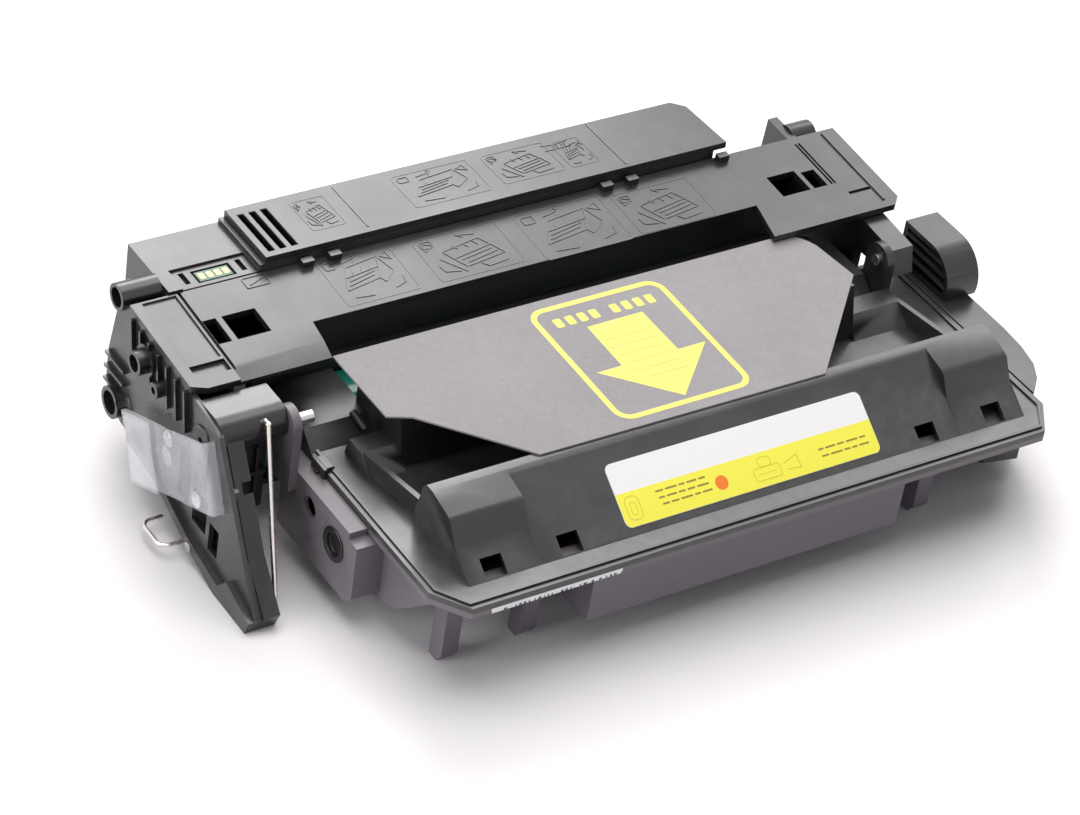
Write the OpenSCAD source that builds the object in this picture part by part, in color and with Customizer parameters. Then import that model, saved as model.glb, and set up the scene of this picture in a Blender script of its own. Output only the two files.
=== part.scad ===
// Toner cartridge: a toner hopper with a developer roller, hinged to a drum unit with a waste bin.
// X runs along the drum, Y from the grip bar to the waste bin, Z up.
// Sizes are worked out from the front left corner of the hopper flange at its seam, and then
// everything is moved so that the middle of the floor under the cartridge is the origin.

/* [Flange] */
// Length of the hopper flange along the grip bar
flange_l = 280; // [270:1:300]
// Depth of the hopper flange from its front edge to the light slot
flange_w = 118; // [116:1:126]
// Thickness of each of the two flanges that meet at the seam
flange_t = 2.5; // [2:0.1:3.5]
// Cut across the front corners of the flange
flange_corner = 12; // [6:1:18]
// Height of the seam above the floor
seam_h = 42; // [40:1:50]
// Wall of the moulded shells
wall = 2.2; // [1.8:0.1:2.6]
// Running gap between pieces that move past each other
gap = 0.3; // [0.25:0.05:0.5]

/* [Grip bar] */
// Distance from each end of the flange to the grip bar
bar_inset = 15; // [10:1:20]
// Distance from the front edge of the flange to the foot of the bar
bar_front = 10; // [6:1:13]
// Depth of the bar from its foot to its crest
bar_rise = 30; // [26:1:34]
// Height of the bar's crest above the seam
bar_h = 23.5; // [20:0.5:26]
// Length of the thicker block at each end of the bar
bar_end_l = 31; // [24:1:40]
// Distance from the front edge to the front of the raised deck
deck_front = 84; // [80:1:88]
// Distance from the left end of the flange to the deck
deck_left = 27; // [25:1:32]
// Distance from the right end of the flange to the deck
deck_right = 46; // [44:1:56]
// Height of the low step blocks beside the finger recess
step_h = 10; // [8:0.5:12]
// Width of each latch notch in the foot of the bar
notch_w = 9; // [7:0.5:10]

/* [Toner tray] */
// Depth of the tray below the seam
tray_d = 30; // [28:0.5:32]
// Distance from the front edge to the front wall of the tray
tray_front = 16; // [14:1:20]
// Distance from the left end of the flange to the tray
tray_left = 4; // [3:0.5:6]
// Room for the gears between the tray and the right end of the flange
gear_room = 33.6; // [31:0.2:35]
// Left end of the deep chamber under the bar
chamber_left = 66; // [56:1:76]
// Distance from the right end of the flange to the deep chamber
chamber_right = 72; // [64:1:94]
// Distance from the front edge to the face of the deep chamber
chamber_front = 5; // [4:0.5:10]
// Width of each foot under the tray
foot_w = 7; // [5:0.5:10]
// Radius of the smaller hole in the side box
box_hole_r = 4.4; // [3:0.2:5]
// Radius of the larger hole in the side box
box_port_r = 6; // [5:0.2:7]

/* [Rollers] */
// Diameter of the drum
drum_d = 30; // [28:0.5:31]
// Reach of the drum tube past the left end of the flange
drum_left = 15.6; // [15:0.1:17]
// Wall of the drum tube
drum_wall = 0.8; // [0.6:0.1:1.2]
// Depth of the drum's axis below the seam
drum_drop = 12; // [11:0.5:13]
// Diameter of the developer sleeve
sleeve_d = 18; // [17:0.5:18.5]
// Diameter of the charge roller
charger_d = 12; // [11:0.5:12.5]
// Distance from each end of the drum to the charge roller's rubber
charger_inset = 12; // [9:1:22]
// Angle of the charge roller above the rear of the drum
charger_angle = 60; // [56:1:62]
// Slope of the line from the drum to the developer sleeve
sleeve_angle = 10; // [8:0.5:11]
// Radius of the steel pins and journals
pin_r = 2.5; // [2:0.1:2.8]
// Radial clearance of a running pin
run_fit = 0.05; // [0.03:0.01:0.09]

/* [Gears] */
// Teeth on the drum gear
drum_teeth = 38; // [36:1:40]
// Teeth on the sleeve gear
sleeve_teeth = 16; // [15:1:17]
// Teeth on the idler gear
idler_teeth = 22; // [21:1:23]
// Teeth on the agitator gear
agitator_teeth = 24; // [23:1:25]
// Face width of the gears
gear_w = 8; // [6:0.5:9]
// Radius of the agitator's vane
vane_r = 12; // [9:0.5:12.5]

/* [Drum unit] */
// Reach of the drum unit past the left end of the flange
unit_left = 41; // [40:0.5:44]
// Reach of the drum unit past the right end of the flange
unit_right = 2; // [0:0.5:4]
// Height of the front edge of the waste cover above the seam
cover_h = 30; // [29.5:0.5:33]
// Thickness of the waste cover
cover_t = 3; // [2.4:0.1:3.2]
// Pitch of the waste cover
cover_pitch = 4.5; // [3:0.5:5]
// Length of the cover's front lip at each end
lip_l = 58; // [50:1:64]
// Depth of the front lips
lip_d = 19; // [16:0.5:20]
// Distance from the light slot to the rear edge of the waste cover
cover_d = 51; // [49:0.5:53]
// Depth of the rear bin behind the waste cover
rear_d = 31; // [26:1:34]
// Height of the rear cover above the seam
rear_h = 40; // [39:0.5:44]
// Thickness of the side plates
side_t = 4.5; // [4:0.5:5]
// Thickness of the drum shutter
shutter_t = 1.6; // [1.2:0.1:2]
// Distance from the drum's axis to the shutter's hinge
shutter_reach = 32; // [30:1:34]

/* [Card, label and film] */
// Thickness of the protective card
card_t = 0.8; // [0.5:0.1:1]
// Thickness of the labels
label_t = 0.3; // [0.2:0.05:0.5]
// Distance from each end of the deep chamber to the front label
label_inset = 13; // [8:1:24]
// Thickness of the clear film
film_t = 0.5; // [0.4:0.05:0.8]
// Width of the clear film's tail
film_w = 28; // [20:1:30]
// Diameter of the steel wires
wire_d = 2; // [1.6:0.1:2.4]

/* [Hidden] */
$fn = 48;

// Where the main stations lie along X
tray_x0 = tray_left;
tray_x1 = flange_l - gear_room;
gear_x0 = tray_x1 + 2;
gear_x1 = gear_x0 + gear_w;
drum_x1 = gear_x0;
drum_x0 = -drum_left;
cover_x0 = -unit_left;
cover_x1 = flange_l + unit_right;
left_x0 = cover_x0 - 2;
left_x1 = left_x0 + side_t;
plate_x0 = left_x1 - 2;
arm_r_x0 = gear_x1 + 1.5;
arm_t = 3;
right_x0 = arm_r_x0 + arm_t + 2;
right_x1 = right_x0 + side_t;
arm_l_x0 = drum_x0 - 14;
bin_x0 = arm_l_x0 + arm_t + 2;
bin_x1 = drum_x1 + 4;

// Drum, sleeve and charge roller
drum_r = drum_d / 2;
drum_y = flange_w + 1 + drum_r;
drum_z = -drum_drop;
sleeve_r = sleeve_d / 2;
mesh_reach = drum_r + sleeve_r + gap;
sleeve_y = drum_y - mesh_reach * cos(sleeve_angle);
sleeve_z = drum_z - mesh_reach * sin(sleeve_angle);
sleeve_x0 = tray_x0 + wall + 3;
sleeve_x1 = tray_x1 - wall - 3;
charger_r = charger_d / 2;
charger_reach = drum_r + charger_r + gap;
charger_y = drum_y + charger_reach * cos(charger_angle);
charger_z = drum_z + charger_reach * sin(charger_angle);
charger_x0 = drum_x0 + charger_inset;
charger_x1 = drum_x1 - charger_inset;

// Gear sizes all follow from the distance between the drum and the sleeve
gear_m = 2 * mesh_reach / (drum_teeth + sleeve_teeth);
agitator_z = -14.8;
idler_a = gear_m * (sleeve_teeth + idler_teeth) / 2;
idler_b = gear_m * (idler_teeth + agitator_teeth) / 2;
span = idler_a + idler_b - 0.2;
span_z = agitator_z - sleeve_z;
span_y = -sqrt(span * span - span_z * span_z);
agitator_y = sleeve_y + span_y;
span_angle = atan2(span_z, span_y);
idler_turn = acos((idler_a * idler_a + span * span - idler_b * idler_b) / (2 * idler_a * span));
idler_angle = span_angle + idler_turn;
idler_y = sleeve_y + idler_a * cos(idler_angle);
idler_z = sleeve_z + idler_a * sin(idler_angle);
agitator_angle = atan2(agitator_z - idler_z, agitator_y - idler_y);

// Waste bin and covers
slot_y = flange_w;
bin_front = drum_y + drum_r + 4;
step_y = slot_y + cover_d + wall;
rear_y = step_y + rear_d;
bin_floor = drum_z - 3;
lip_y = slot_y + lip_d;
cover_lo = cover_h - cover_t;
rear_x0 = 16;
rear_x1 = flange_l - 52;
chip_top = rear_h - 5;

// Shutter hinge
shutter_y = drum_y + shutter_reach;
shutter_z = drum_z + 2;
shutter_r = gear_m * (drum_teeth / 2 + 0.92) + 0.5;

// Hinge between the two units
hinge_y = slot_y - 17;
hinge_z = 19;

// The middle of the floor under everything
x_low = left_x0 - 9 - wire_d * 0.4;
x_high = flange_l + 19;
y_high = rear_y;
origin = [-(x_low + x_high) / 2, -(y_high - label_t) / 2, seam_h];

black = [0.14, 0.13, 0.14];
grey = [0.34, 0.32, 0.34];
steel = [0.75, 0.76, 0.78];

// Height of the underside of the waste cover at a place in Y
function cover_under(y) = cover_lo - 0.02 + (y - slot_y) * tan(cover_pitch);

// A gear tooth has two straight flanks on each side, close to an involute
function tooth(teeth, m, k) =
    let (r = teeth * m / 2, p = 360 / teeth, a = k * p)
    [for (q = [[-0.33, -1.2], [-0.235, 0], [-0.11, 0.92], [0.11, 0.92], [0.235, 0], [0.33, -1.2]])
        (r + q[1] * m) * [cos(a + q[0] * p), sin(a + q[0] * p)]];
function gear_outline(teeth, m) = [for (k = [0:teeth - 1]) each tooth(teeth, m, k)];
// Turn of the second gear that puts its gap on a tooth of the first one
function mesh_turn(turn, angle, first, second) =
    angle + 180 + 180 / second - (turn - angle) * first / second;

drum_turn = 0;
sleeve_turn = mesh_turn(drum_turn, 180 + sleeve_angle, drum_teeth, sleeve_teeth);
idler_gear_turn = mesh_turn(sleeve_turn, idler_angle, sleeve_teeth, idler_teeth);
agitator_turn = mesh_turn(idler_gear_turn, agitator_angle, idler_teeth, agitator_teeth);

module place() translate(origin) children();

// A Y-Z outline made into a bar from x0 to x1
module along(x0, x1) translate([x0, 0, 0]) rotate([90, 0, 90]) linear_extrude(x1 - x0) children();

// A round bar along X
module rod(x0, x1, y, z, r) translate([x0, y, z]) rotate([0, 90, 0]) cylinder(h = x1 - x0, r = r);

module ring(x0, x1, y, z, r, bore) difference() {
    rod(x0, x1, y, z, r);
    rod(x0 - 1, x1 + 1, y, z, bore);
}

module block(lo, hi) translate(lo) cube(hi - lo);

module gear(teeth, y, z, turn) translate([gear_x0, y, z]) rotate([90, 0, 90]) rotate(turn)
    linear_extrude(gear_w) polygon(gear_outline(teeth, gear_m));

// Hopper

module flange_outline(inset = 0) {
    c = flange_corner;
    polygon([
        [inset, c + 2], [c - 2, inset], [flange_l - c + 2, inset], [flange_l - inset, c + 2],
        [flange_l - inset, flange_w - inset], [inset, flange_w - inset]
    ]);
}

bay_y = sleeve_y - sleeve_r - 6;
tray_rear = sleeve_y + 2;

module tray_section(t = 0) polygon([
    [tray_front + t, 1], [tray_front + t, -6], [tray_front + 22 + t * 0.4, t + 4 - tray_d],
    [tray_front + 32, t - tray_d], [bay_y - wall, t - tray_d], [bay_y - wall, 1]
]);

module bay_section() polygon([
    [bay_y, 1], [bay_y, wall + 4 - tray_d], [bay_y + 4, wall - tray_d],
    [tray_rear + 1, wall - tray_d], [tray_rear + 1, 1]
]);

chamber_x0 = chamber_left;
chamber_x1 = flange_l - chamber_right;
foot_places = [14, 48, flange_l - 50];
outlet_x0 = tray_x0 + wall + 8;
outlet_x1 = tray_x1 - wall - 8;
outlet_z0 = sleeve_z - 5;
outlet_z1 = sleeve_z + 6;

module foot(x) along(x, x + foot_w) polygon([
    [tray_front + 4, -6], [tray_front + 4, 4 - seam_h], [tray_front + 7, -seam_h],
    [tray_front + 12, -seam_h], [tray_front + 12, -10]
]);

module hopper_tray() color(grey) place() difference() {
    union() {
        translate([0, 0, -flange_t]) linear_extrude(flange_t) flange_outline();
        intersection() {
            along(tray_x0, tray_x1) union() {
                tray_section();
                translate([bay_y - wall, -tray_d]) square([tray_rear - bay_y + wall, tray_d]);
            }
            block([0, 0, -tray_d], [flange_l, flange_w, -0.1]);
        }
        block([chamber_x0, chamber_front, 3 - tray_d], [chamber_x1, tray_front + 20, -1]);
        for (x = foot_places) foot(x);
    }
    along(tray_x0 + wall, tray_x1 - wall) tray_section(wall);
    along(tray_x0 + wall, tray_x1 - wall) bay_section();
    block([chamber_x0 + wall, chamber_front + wall, 3 + wall - tray_d],
        [chamber_x1 - wall, tray_front + 18, 1]);
    block([outlet_x0, bay_y - wall - 1, outlet_z0], [outlet_x1, bay_y + 1, outlet_z1]);
    rod(tray_x0 - 1, tray_x1 + 1, sleeve_y, sleeve_z, pin_r + 3.5);
    rod(tray_x0 + wall - 1, tray_x1 + 1, agitator_y, agitator_z, pin_r + run_fit);
    for (x = [sleeve_x0 + 9, sleeve_x1 - 9]) screw_hole(x);
    rod(tray_x1 - wall - 1, tray_x1 + 1, idler_y, idler_z, pin_r);
}

screw_z = -2.9;

module screw_hole(x) translate([x, bay_y - wall - 1, screw_z]) rotate([-90, 0, 0])
    cylinder(h = wall + 4, r = 1);

bar_x0 = bar_inset;
bar_x1 = flange_l - bar_inset + 3;
bar_crest = bar_front + bar_rise;
bar_rear = bar_crest + 12;

module bar_middle() polygon([
    [bar_front, 0], [bar_front, 2], [bar_crest - 1, bar_h - 1], [bar_crest + 1, bar_h],
    [bar_crest + 5, bar_h], [bar_crest + 7, bar_h - 2], [bar_rear, 0]
]);

module bar_end() polygon([
    [bar_front, 0], [bar_front, 2], [bar_front + 13, 11.5], [bar_front + 17.5, bar_h - 4],
    [bar_front + 20, bar_h - 2.6], [bar_crest + 1, bar_h], [bar_crest + 5, bar_h],
    [bar_crest + 7, bar_h - 2], [bar_rear, 0]
]);

// The deck carries the rear of the card, so its top follows the card's slope
card_y0 = bar_crest + 2;
card_y1 = slot_y + 3;
card_tilt = atan2(cover_lo - 1.5 * gap - card_t - bar_h, card_y1 - card_y0);
function card_z(y) = bar_h + (y - card_y0) * tan(card_tilt);

deck_x0 = deck_left;
deck_x1 = flange_l - deck_right;
deck_rear = slot_y - 4;
step_x0 = bar_x0 - 3;
step_x1 = bar_x1 - 8;

module deck_section() polygon([
    [deck_front - 6, 0], [deck_front, card_z(deck_front) - 0.02],
    [deck_rear, card_z(deck_rear) - 0.02], [deck_rear, 0]
]);

module step_section() polygon([
    [deck_front - 10, 0], [deck_front, step_h], [deck_front + 9, step_h], [deck_front + 12, 0]
]);

// A thin wall closes each end of the finger recess, from the step block to the rear of the bar
module recess_wall(x, lean) linear_extrude(step_h) polygon([
    [x, deck_front + 4], [x + wall, deck_front + 4],
    [x + lean + wall, bar_rear - 3], [x + lean, bar_rear - 3]
]);

// A raised form and the same form one wall lower, which hollows it
module raised(x0, x1) along(x0, x1) children();
module hollow(x0, x1) translate([0, 0, -wall]) along(x0 + wall, x1 - wall) children();

lug_r = 7;
lug_x0 = right_x0 - 4;

module hopper_lid() color(black) place() difference() {
    union() {
        linear_extrude(flange_t) flange_outline();
        difference() {
            translate([0, 0, flange_t - 0.5]) linear_extrude(1.3) flange_outline(2);
            translate([0, 0, flange_t - 1]) linear_extrude(3) flange_outline(3.2);
        }
        raised(bar_x0, bar_x1) bar_middle();
        raised(bar_x0, bar_x0 + bar_end_l) bar_end();
        raised(bar_x1 - bar_end_l, bar_x1) bar_end();
        raised(deck_x0, deck_x1) deck_section();
        raised(step_x0, deck_x0 + 0.5) step_section();
        raised(deck_x1 - 0.5, step_x1) step_section();
        recess_wall(step_x0, 6.5);
        recess_wall(step_x1 - wall, 6.5);
        hinge_lug(lug_x0, lug_x0 + 3.5, flange_t - 1);
        along(0, deck_x0 + 1) shelf_section();
        along(deck_x1 - 1, lug_x0 - 1) shelf_section();
    }
    hollow(bar_x0, bar_x1) bar_middle();
    hollow(bar_x0, bar_x0 + bar_end_l) bar_end();
    hollow(bar_x1 - bar_end_l, bar_x1) bar_end();
    hollow(deck_x0, deck_x1) deck_section();
    for (x = [bar_x0 + 12, bar_x0 + 44.5, bar_x1 - 45.5, bar_x1 - 13.5]) notch(x);
    rod(lug_x0 - 1, lug_x0 + 5, hinge_y, hinge_z, pin_r + run_fit);
    translate([12, deck_front + 16, -1]) cube([3, 7, flange_t + 2]);
}

// A shelf at each end of the light slot reaches over the drum
shelf_y = slot_y + 16;
shelf_z = 9;

module shelf_section() polygon([
    [slot_y - 20, flange_t - 0.5], [slot_y - 12, shelf_z],
    [shelf_y, shelf_z], [shelf_y, shelf_z - wall],
    [slot_y - 3, shelf_z - wall], [slot_y - 5, flange_t - 0.5]
]);

module notch(x) translate([x - notch_w / 2, bar_front, 2]) rotate([face_angle, 0, 0])
    translate([0, 1.5, -wall - 1]) cube([notch_w, 8, wall + 2]);

module hinge_lug(x0, x1, z0) {
    rod(x0, x1, hinge_y, hinge_z, lug_r);
    block([x0, hinge_y - lug_r, z0], [x1, hinge_y + lug_r, hinge_z]);
}

box_y0 = slot_y - 68;
box_y1 = slot_y - 13;
box_out = 8;

module box_section(t = 0) polygon([
    [box_y0 + t, -2 - t], [box_y0 + t, t - 26], [box_y0 + 4 + t, t - tray_d],
    [box_y1 - t, t - tray_d], [box_y1 - t, -2 - t]
]);

module side_box() color(grey) place() {
    difference() {
        union() {
            along(-box_out, tray_x0) translate([0, -1]) box_section();
            block([-box_out, box_y0 + 6, -4], [-gap, box_y1, 0]);
        }
        along(wall - box_out, tray_x0 + 1) translate([0, -1]) box_section(wall);
        rod(-box_out - 1, 0, box_y1 - 21, -9, box_hole_r);
        rod(-box_out - 1, 0, box_y0 + 15, -12, box_port_r);
        rod(tray_x0 - 3, tray_x0 + 1, sleeve_y, sleeve_z, pin_r + 4);
    }
    difference() {
        hinge_lug(-box_out - 3.5, -box_out, -8);
        rod(-box_out - 5, 0, hinge_y, hinge_z, pin_r + run_fit);
    }
}

cover_top = 3;
cover_floor = -0.5 - tray_d;
end_x = flange_l + 16;

module gear_cover_outline(t = 0) {
    x = end_x - t;
    polygon([
        [tray_x1 + 0.5 + t, 46 + t], [flange_l - 14, 24 + t], [flange_l + 1 - t, 21 + t],
        [x - 8, 28 + t], [x - 3.5, 36], [x - 1, 47], [x, 60], [x, slot_y - 32],
        [flange_l + 3 - t, slot_y + 1 - t], [tray_x1 + 0.5 + t, slot_y - 1 - t]
    ]);
}

module gear_cover() color(black) place() difference() {
    union() {
        translate([0, 0, cover_floor]) linear_extrude(-flange_t - cover_floor) gear_cover_outline();
        intersection() {
            translate([0, 0, cover_floor]) linear_extrude(cover_top - cover_floor) gear_cover_outline();
            block([flange_l + gap, 0, cover_floor - 1], [end_x + 1, slot_y + 5, cover_top]);
        }
    }
    intersection() {
        translate([0, 0, cover_floor + wall]) linear_extrude(60) gear_cover_outline(wall);
        union() {
            block([tray_x1, 0, -60], [flange_l + gap + wall, slot_y, -flange_t + 1]);
            block([flange_l, 0, -60], [end_x, slot_y, cover_top - wall]);
        }
    }
    // Room for the gears and the drum's shaft at the inner wall
    block([tray_x1 - 1, agitator_y - 14, cover_floor + wall], [gear_x1 + 1.5, slot_y + 5, 1]);
}

handle_x0 = flange_l + 3;
handle_y0 = slot_y - 35;
handle_y1 = slot_y - 3;
handle_top = 22.5;
handle_r = 15;

module handle_section(t = 0) {
    intersection() {
        translate([handle_y0 + handle_r, handle_top - handle_r]) circle(r = handle_r - t);
        translate([handle_y0, cover_top]) square([handle_r, handle_top - cover_top]);
    }
    translate([handle_y0 + handle_r - 1, cover_top])
        square([handle_y1 - t - handle_y0 - handle_r + 1, handle_top - t - cover_top]);
}

// The end handle is open towards the flange, with level ribs inside
module end_handle() color(black) place() difference() {
    along(handle_x0, x_high) handle_section();
    for (k = [0:3]) intersection() {
        along(handle_x0 - 1, x_high - wall) handle_section(wall);
        block([handle_x0 - 1, handle_y0, cover_top + 1.5 + 4.6 * k],
            [x_high, handle_y1, cover_top + 4.9 + 4.6 * k]);
    }
}

module fill_cap() color(grey) place() difference() {
    union() {
        rod(-box_out - 0.8, -box_out, box_y0 + 15, -12, box_port_r + 1);
        rod(-box_out, wall - box_out, box_y0 + 15, -12, box_port_r);
    }
    rod(-box_out - 1, -box_out + 1, box_y0 + 15, -12, box_port_r - 1.5);
}

module outlet_seal() color([0.8, 0.82, 0.85]) place()
    block([outlet_x0 - 3, bay_y, outlet_z0 - 1.5], [outlet_x1 + 3, bay_y + gap, outlet_z1 + 1.5]);

// The clear film comes out between the side arm and the left plate, bends round and hangs back
film_run = 64;
film_drop = 24;
film_stand = plate_x0 - left_x0 + 2;

module film_path() {
    square([film_t, film_run]);
    square([film_stand + film_t, film_t]);
    translate([-2, film_run - film_t]) square([2 + film_t, film_t]);
    translate([-2, film_run - 24]) square([film_t, 24]);
}

module pull_film() color([0.9, 0.92, 0.95, 0.5]) place()
    translate([plate_x0 - film_stand - film_t, slot_y - 23, 7]) rotate([-film_drop, 0, 0])
    translate([0, 0, -film_w / 2]) linear_extrude(film_w) film_path();

face_angle = atan2(bar_h - 3, bar_rise - 1);
label_x0 = chamber_x0 + label_inset + 5;
label_x1 = chamber_x1 - label_inset + 5;

module front_label() color([0.97, 0.93, 0.3]) place()
    translate([label_x0, bar_front, 2]) rotate([face_angle, 0, 0])
    translate([0, 4, 0]) cube([label_x1 - label_x0, 25, label_t]);

module bar_code_strip() color([0.93, 0.93, 0.93]) place()
    block([flange_corner + 6, -label_t, -flange_t + 0.2], [flange_corner + 62, 0, -0.2]);

module card_outline() {
    x0 = deck_x0 - 8;
    x1 = deck_x1 + 3;
    y1 = card_y1;
    polygon([
        [x0, y1], [x0 + 1, y1 - 38], [x0 + 10, y1 - 42], [x0 + 43, card_y0 + 1],
        [x1 - 47, card_y0], [x1, y1 - 32], [x1 - 3, y1 - 10], [x1 - 13, y1]
    ]);
    intersection() {
        translate([x1 - 16, y1 - 13]) circle(r = 13);
        translate([x1 - 16, y1 - 13]) square(13);
    }
}

module protective_card() color([0.5, 0.49, 0.5]) place()
    translate([0, card_y0, bar_h]) rotate([card_tilt, 0, 0]) translate([0, -card_y0, 0])
    linear_extrude(card_t) card_outline();

// Developer

module doctor_bracket() color(steel) place() difference() {
    union() {
        block([sleeve_x0 + 1, bay_y, lip_z - 1.9], [sleeve_x1 - 1, bay_y + 1.2, -1]);
        block([sleeve_x0 + 1, bay_y, lip_z], [sleeve_x1 - 1, sleeve_y - 3, lip_z + 1.2]);
    }
    for (x = [sleeve_x0 + 9, sleeve_x1 - 9]) screw_hole(x);
}

lip_z = sleeve_z + sleeve_r + gap + 1;

module doctor_lip() color([0.3, 0.26, 0.2]) place()
    block([sleeve_x0 + 1, sleeve_y - 9, lip_z - 1], [sleeve_x1 - 1, sleeve_y + 1.5, lip_z]);

module doctor_screws() color(steel) place() for (x = [sleeve_x0 + 9, sleeve_x1 - 9]) {
    translate([x, bay_y - wall, screw_z]) rotate([-90, 0, 0]) cylinder(h = wall + 1.2, r = 1);
    translate([x, bay_y + 1.2, screw_z]) rotate([-90, 0, 0]) cylinder(h = 1.2, r = 1.7);
}

module magnet_core() color([0.25, 0.25, 0.27]) place() {
    rod(sleeve_x0 + 3, sleeve_x1 - 4, sleeve_y, sleeve_z, sleeve_r - 1.3);
    rod(tray_x0 - 6, sleeve_x0 + 3, sleeve_y, sleeve_z, pin_r - 0.5);
}

module sleeve_bushings() color([0.8, 0.8, 0.78]) place() {
    ring(tray_x0, tray_x0 + wall, sleeve_y, sleeve_z, pin_r + 3.5, pin_r + 1.5 + run_fit);
    ring(tray_x1 - wall, tray_x1, sleeve_y, sleeve_z, pin_r + 3.5, pin_r + 1.5 + run_fit);
}

module developer_sleeve() color([0.3, 0.31, 0.33]) place() difference() {
    union() {
        rod(sleeve_x0, sleeve_x1, sleeve_y, sleeve_z, sleeve_r);
        rod(tray_x0 - 2, sleeve_x0 + 1, sleeve_y, sleeve_z, pin_r + 1.5);
        rod(sleeve_x1 - 1, gear_x1, sleeve_y, sleeve_z, pin_r + 1.5);
    }
    rod(sleeve_x0 + 2, sleeve_x1 - 3, sleeve_y, sleeve_z, sleeve_r - 0.9);
    rod(tray_x0 - 3, sleeve_x0 + 3, sleeve_y, sleeve_z, pin_r - 0.5 + run_fit);
}

module sleeve_gear() color([0.92, 0.92, 0.88]) place() difference() {
    gear(sleeve_teeth, sleeve_y, sleeve_z, sleeve_turn);
    rod(gear_x0 - 1, gear_x1 + 1, sleeve_y, sleeve_z, pin_r + 1.51);
}

module idler_gear() color([0.92, 0.92, 0.88]) place() difference() {
    gear(idler_teeth, idler_y, idler_z, idler_gear_turn);
    rod(gear_x0 - 1, gear_x1 + 1, idler_y, idler_z, pin_r + run_fit);
    for (k = [0:4]) rod(gear_x0 - 1, gear_x1 + 1,
        idler_y + 7.5 * cos(72 * k), idler_z + 7.5 * sin(72 * k), 2);
}

module idler_stud() color(steel) place()
    rod(tray_x1 - wall, gear_x1 + 0.8, idler_y, idler_z, pin_r);

module agitator_shaft() color(grey) place() {
    rod(tray_x0 + wall - 0.8, gear_x1, agitator_y, agitator_z, pin_r);
    block([tray_x0 + wall + 4, agitator_y - 1.6, agitator_z + pin_r - 0.6],
        [tray_x1 - wall - 4, agitator_y + 0.4, agitator_z + pin_r + 3]);
}

module agitator_vane() color([0.8, 0.85, 0.9]) place() difference() {
    block([tray_x0 + wall + 4, agitator_y + 0.4, agitator_z + pin_r + 0.2],
        [tray_x1 - wall - 4, agitator_y + 1, agitator_z + vane_r]);
    for (k = [1:6]) translate([tray_x0 + (tray_x1 - tray_x0) * k / 7, 0, 0])
        block([0, agitator_y, agitator_z + pin_r + 4], [8, agitator_y + 2, agitator_z + vane_r + 1]);
}

module agitator_gear() color([0.92, 0.92, 0.88]) place() difference() {
    gear(agitator_teeth, agitator_y, agitator_z, agitator_turn);
    rod(gear_x0 - 1, gear_x1 + 1, agitator_y, agitator_z, pin_r + 0.01);
}

// Waste bin and covers

module bin_front_section(t = 0) polygon([
    [bin_front + t, bin_floor + t], [step_y - t, bin_floor + t], [step_y - t, cover_under(step_y) + t],
    [lip_y + 1 + t, cover_under(lip_y + 1) + t], [lip_y + 1 + t, charger_z + charger_r + 2.5 + t],
    [bin_front + t, charger_z + charger_r + 2.5 + t]
]);

module bin_rear_section(t = 0, top = 0) polygon([
    [step_y + t - wall, bin_floor + t], [rear_y - 5 - t, bin_floor + t], [rear_y - t, bin_floor + 6 + t],
    [rear_y - t, top + t], [step_y + t - wall, top + t]
]);

rib_gap = (flange_l - 100) / 5;
rib_places = [for (k = [0:5]) 24 + rib_gap * k];

module guide_rib(x, low) along(x, x + 2.2) polygon([
    [bin_front + 19, bin_floor + 1], [bin_front + 21, low], [bin_front + 34, low],
    [rear_y - 8, bin_floor + 1]
]);

module waste_bin() color(black) place() difference() {
    union() {
        along(bin_x0, bin_x1) bin_front_section();
        along(bin_x0, rear_x1 - 6) bin_rear_section(0, rear_h - cover_t);
        for (x = rib_places) guide_rib(x, bin_floor - 10);
        for (k = [0.5, 4.5]) guide_rib(24 + rib_gap * k, -seam_h);
    }
    along(bin_x0 + wall, bin_x1 - wall) bin_front_section(wall);
    along(rear_x0, rear_x1 - 6 - wall) bin_rear_section(wall, rear_h - cover_t);
    along(bin_x0 + wall, rear_x0 + 1) bin_rear_section(wall, chip_top - chip_deep - 2 * wall);
    block([bin_x0 - 1, step_y - wall - 1, chip_top], [rear_x0 - wall, rear_y + 1, rear_h]);
    block([chip_x0, step_y - wall - 1, chip_top - chip_deep],
        [chip_x0 + chip_l, step_y + 10, chip_top + 1]);
    // The mouth through which the blade sends the waste into the bin
    block([drum_x0 + 20, bin_front - 1, bin_floor + 3],
        [drum_x1 - 20, bin_front + wall + 1, charger_z - 5]);
    for (x = [drum_x0 + 30, drum_x1 - 30]) translate([x, bin_front + 9, bin_floor - 1])
        cylinder(h = 4, r = 1.4);
}

// Everything on the pitched cover is drawn flat and then tilted about its front edge
module pitched() translate([0, slot_y, cover_lo]) rotate([cover_pitch, 0, 0]) children();

module cover_outline() polygon([
    [cover_x0, 3], [cover_x0 + 6, 0], [cover_x0 + lip_l, 0], [cover_x0 + lip_l + 2, lip_d],
    [cover_x1 - lip_l - 2, lip_d], [cover_x1 - lip_l - 6, 0], [cover_x1 - 4, 0], [cover_x1, 4],
    [cover_x1, cover_d], [cover_x0, cover_d]
]);

module window(x, w, d) translate([x, lip_d + 1, -1]) cube([w, d, cover_t + 2]);

tab_places = [30, 42, rear_x1 - 62, rear_x1 - 50, rear_x1 - 6];

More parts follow.
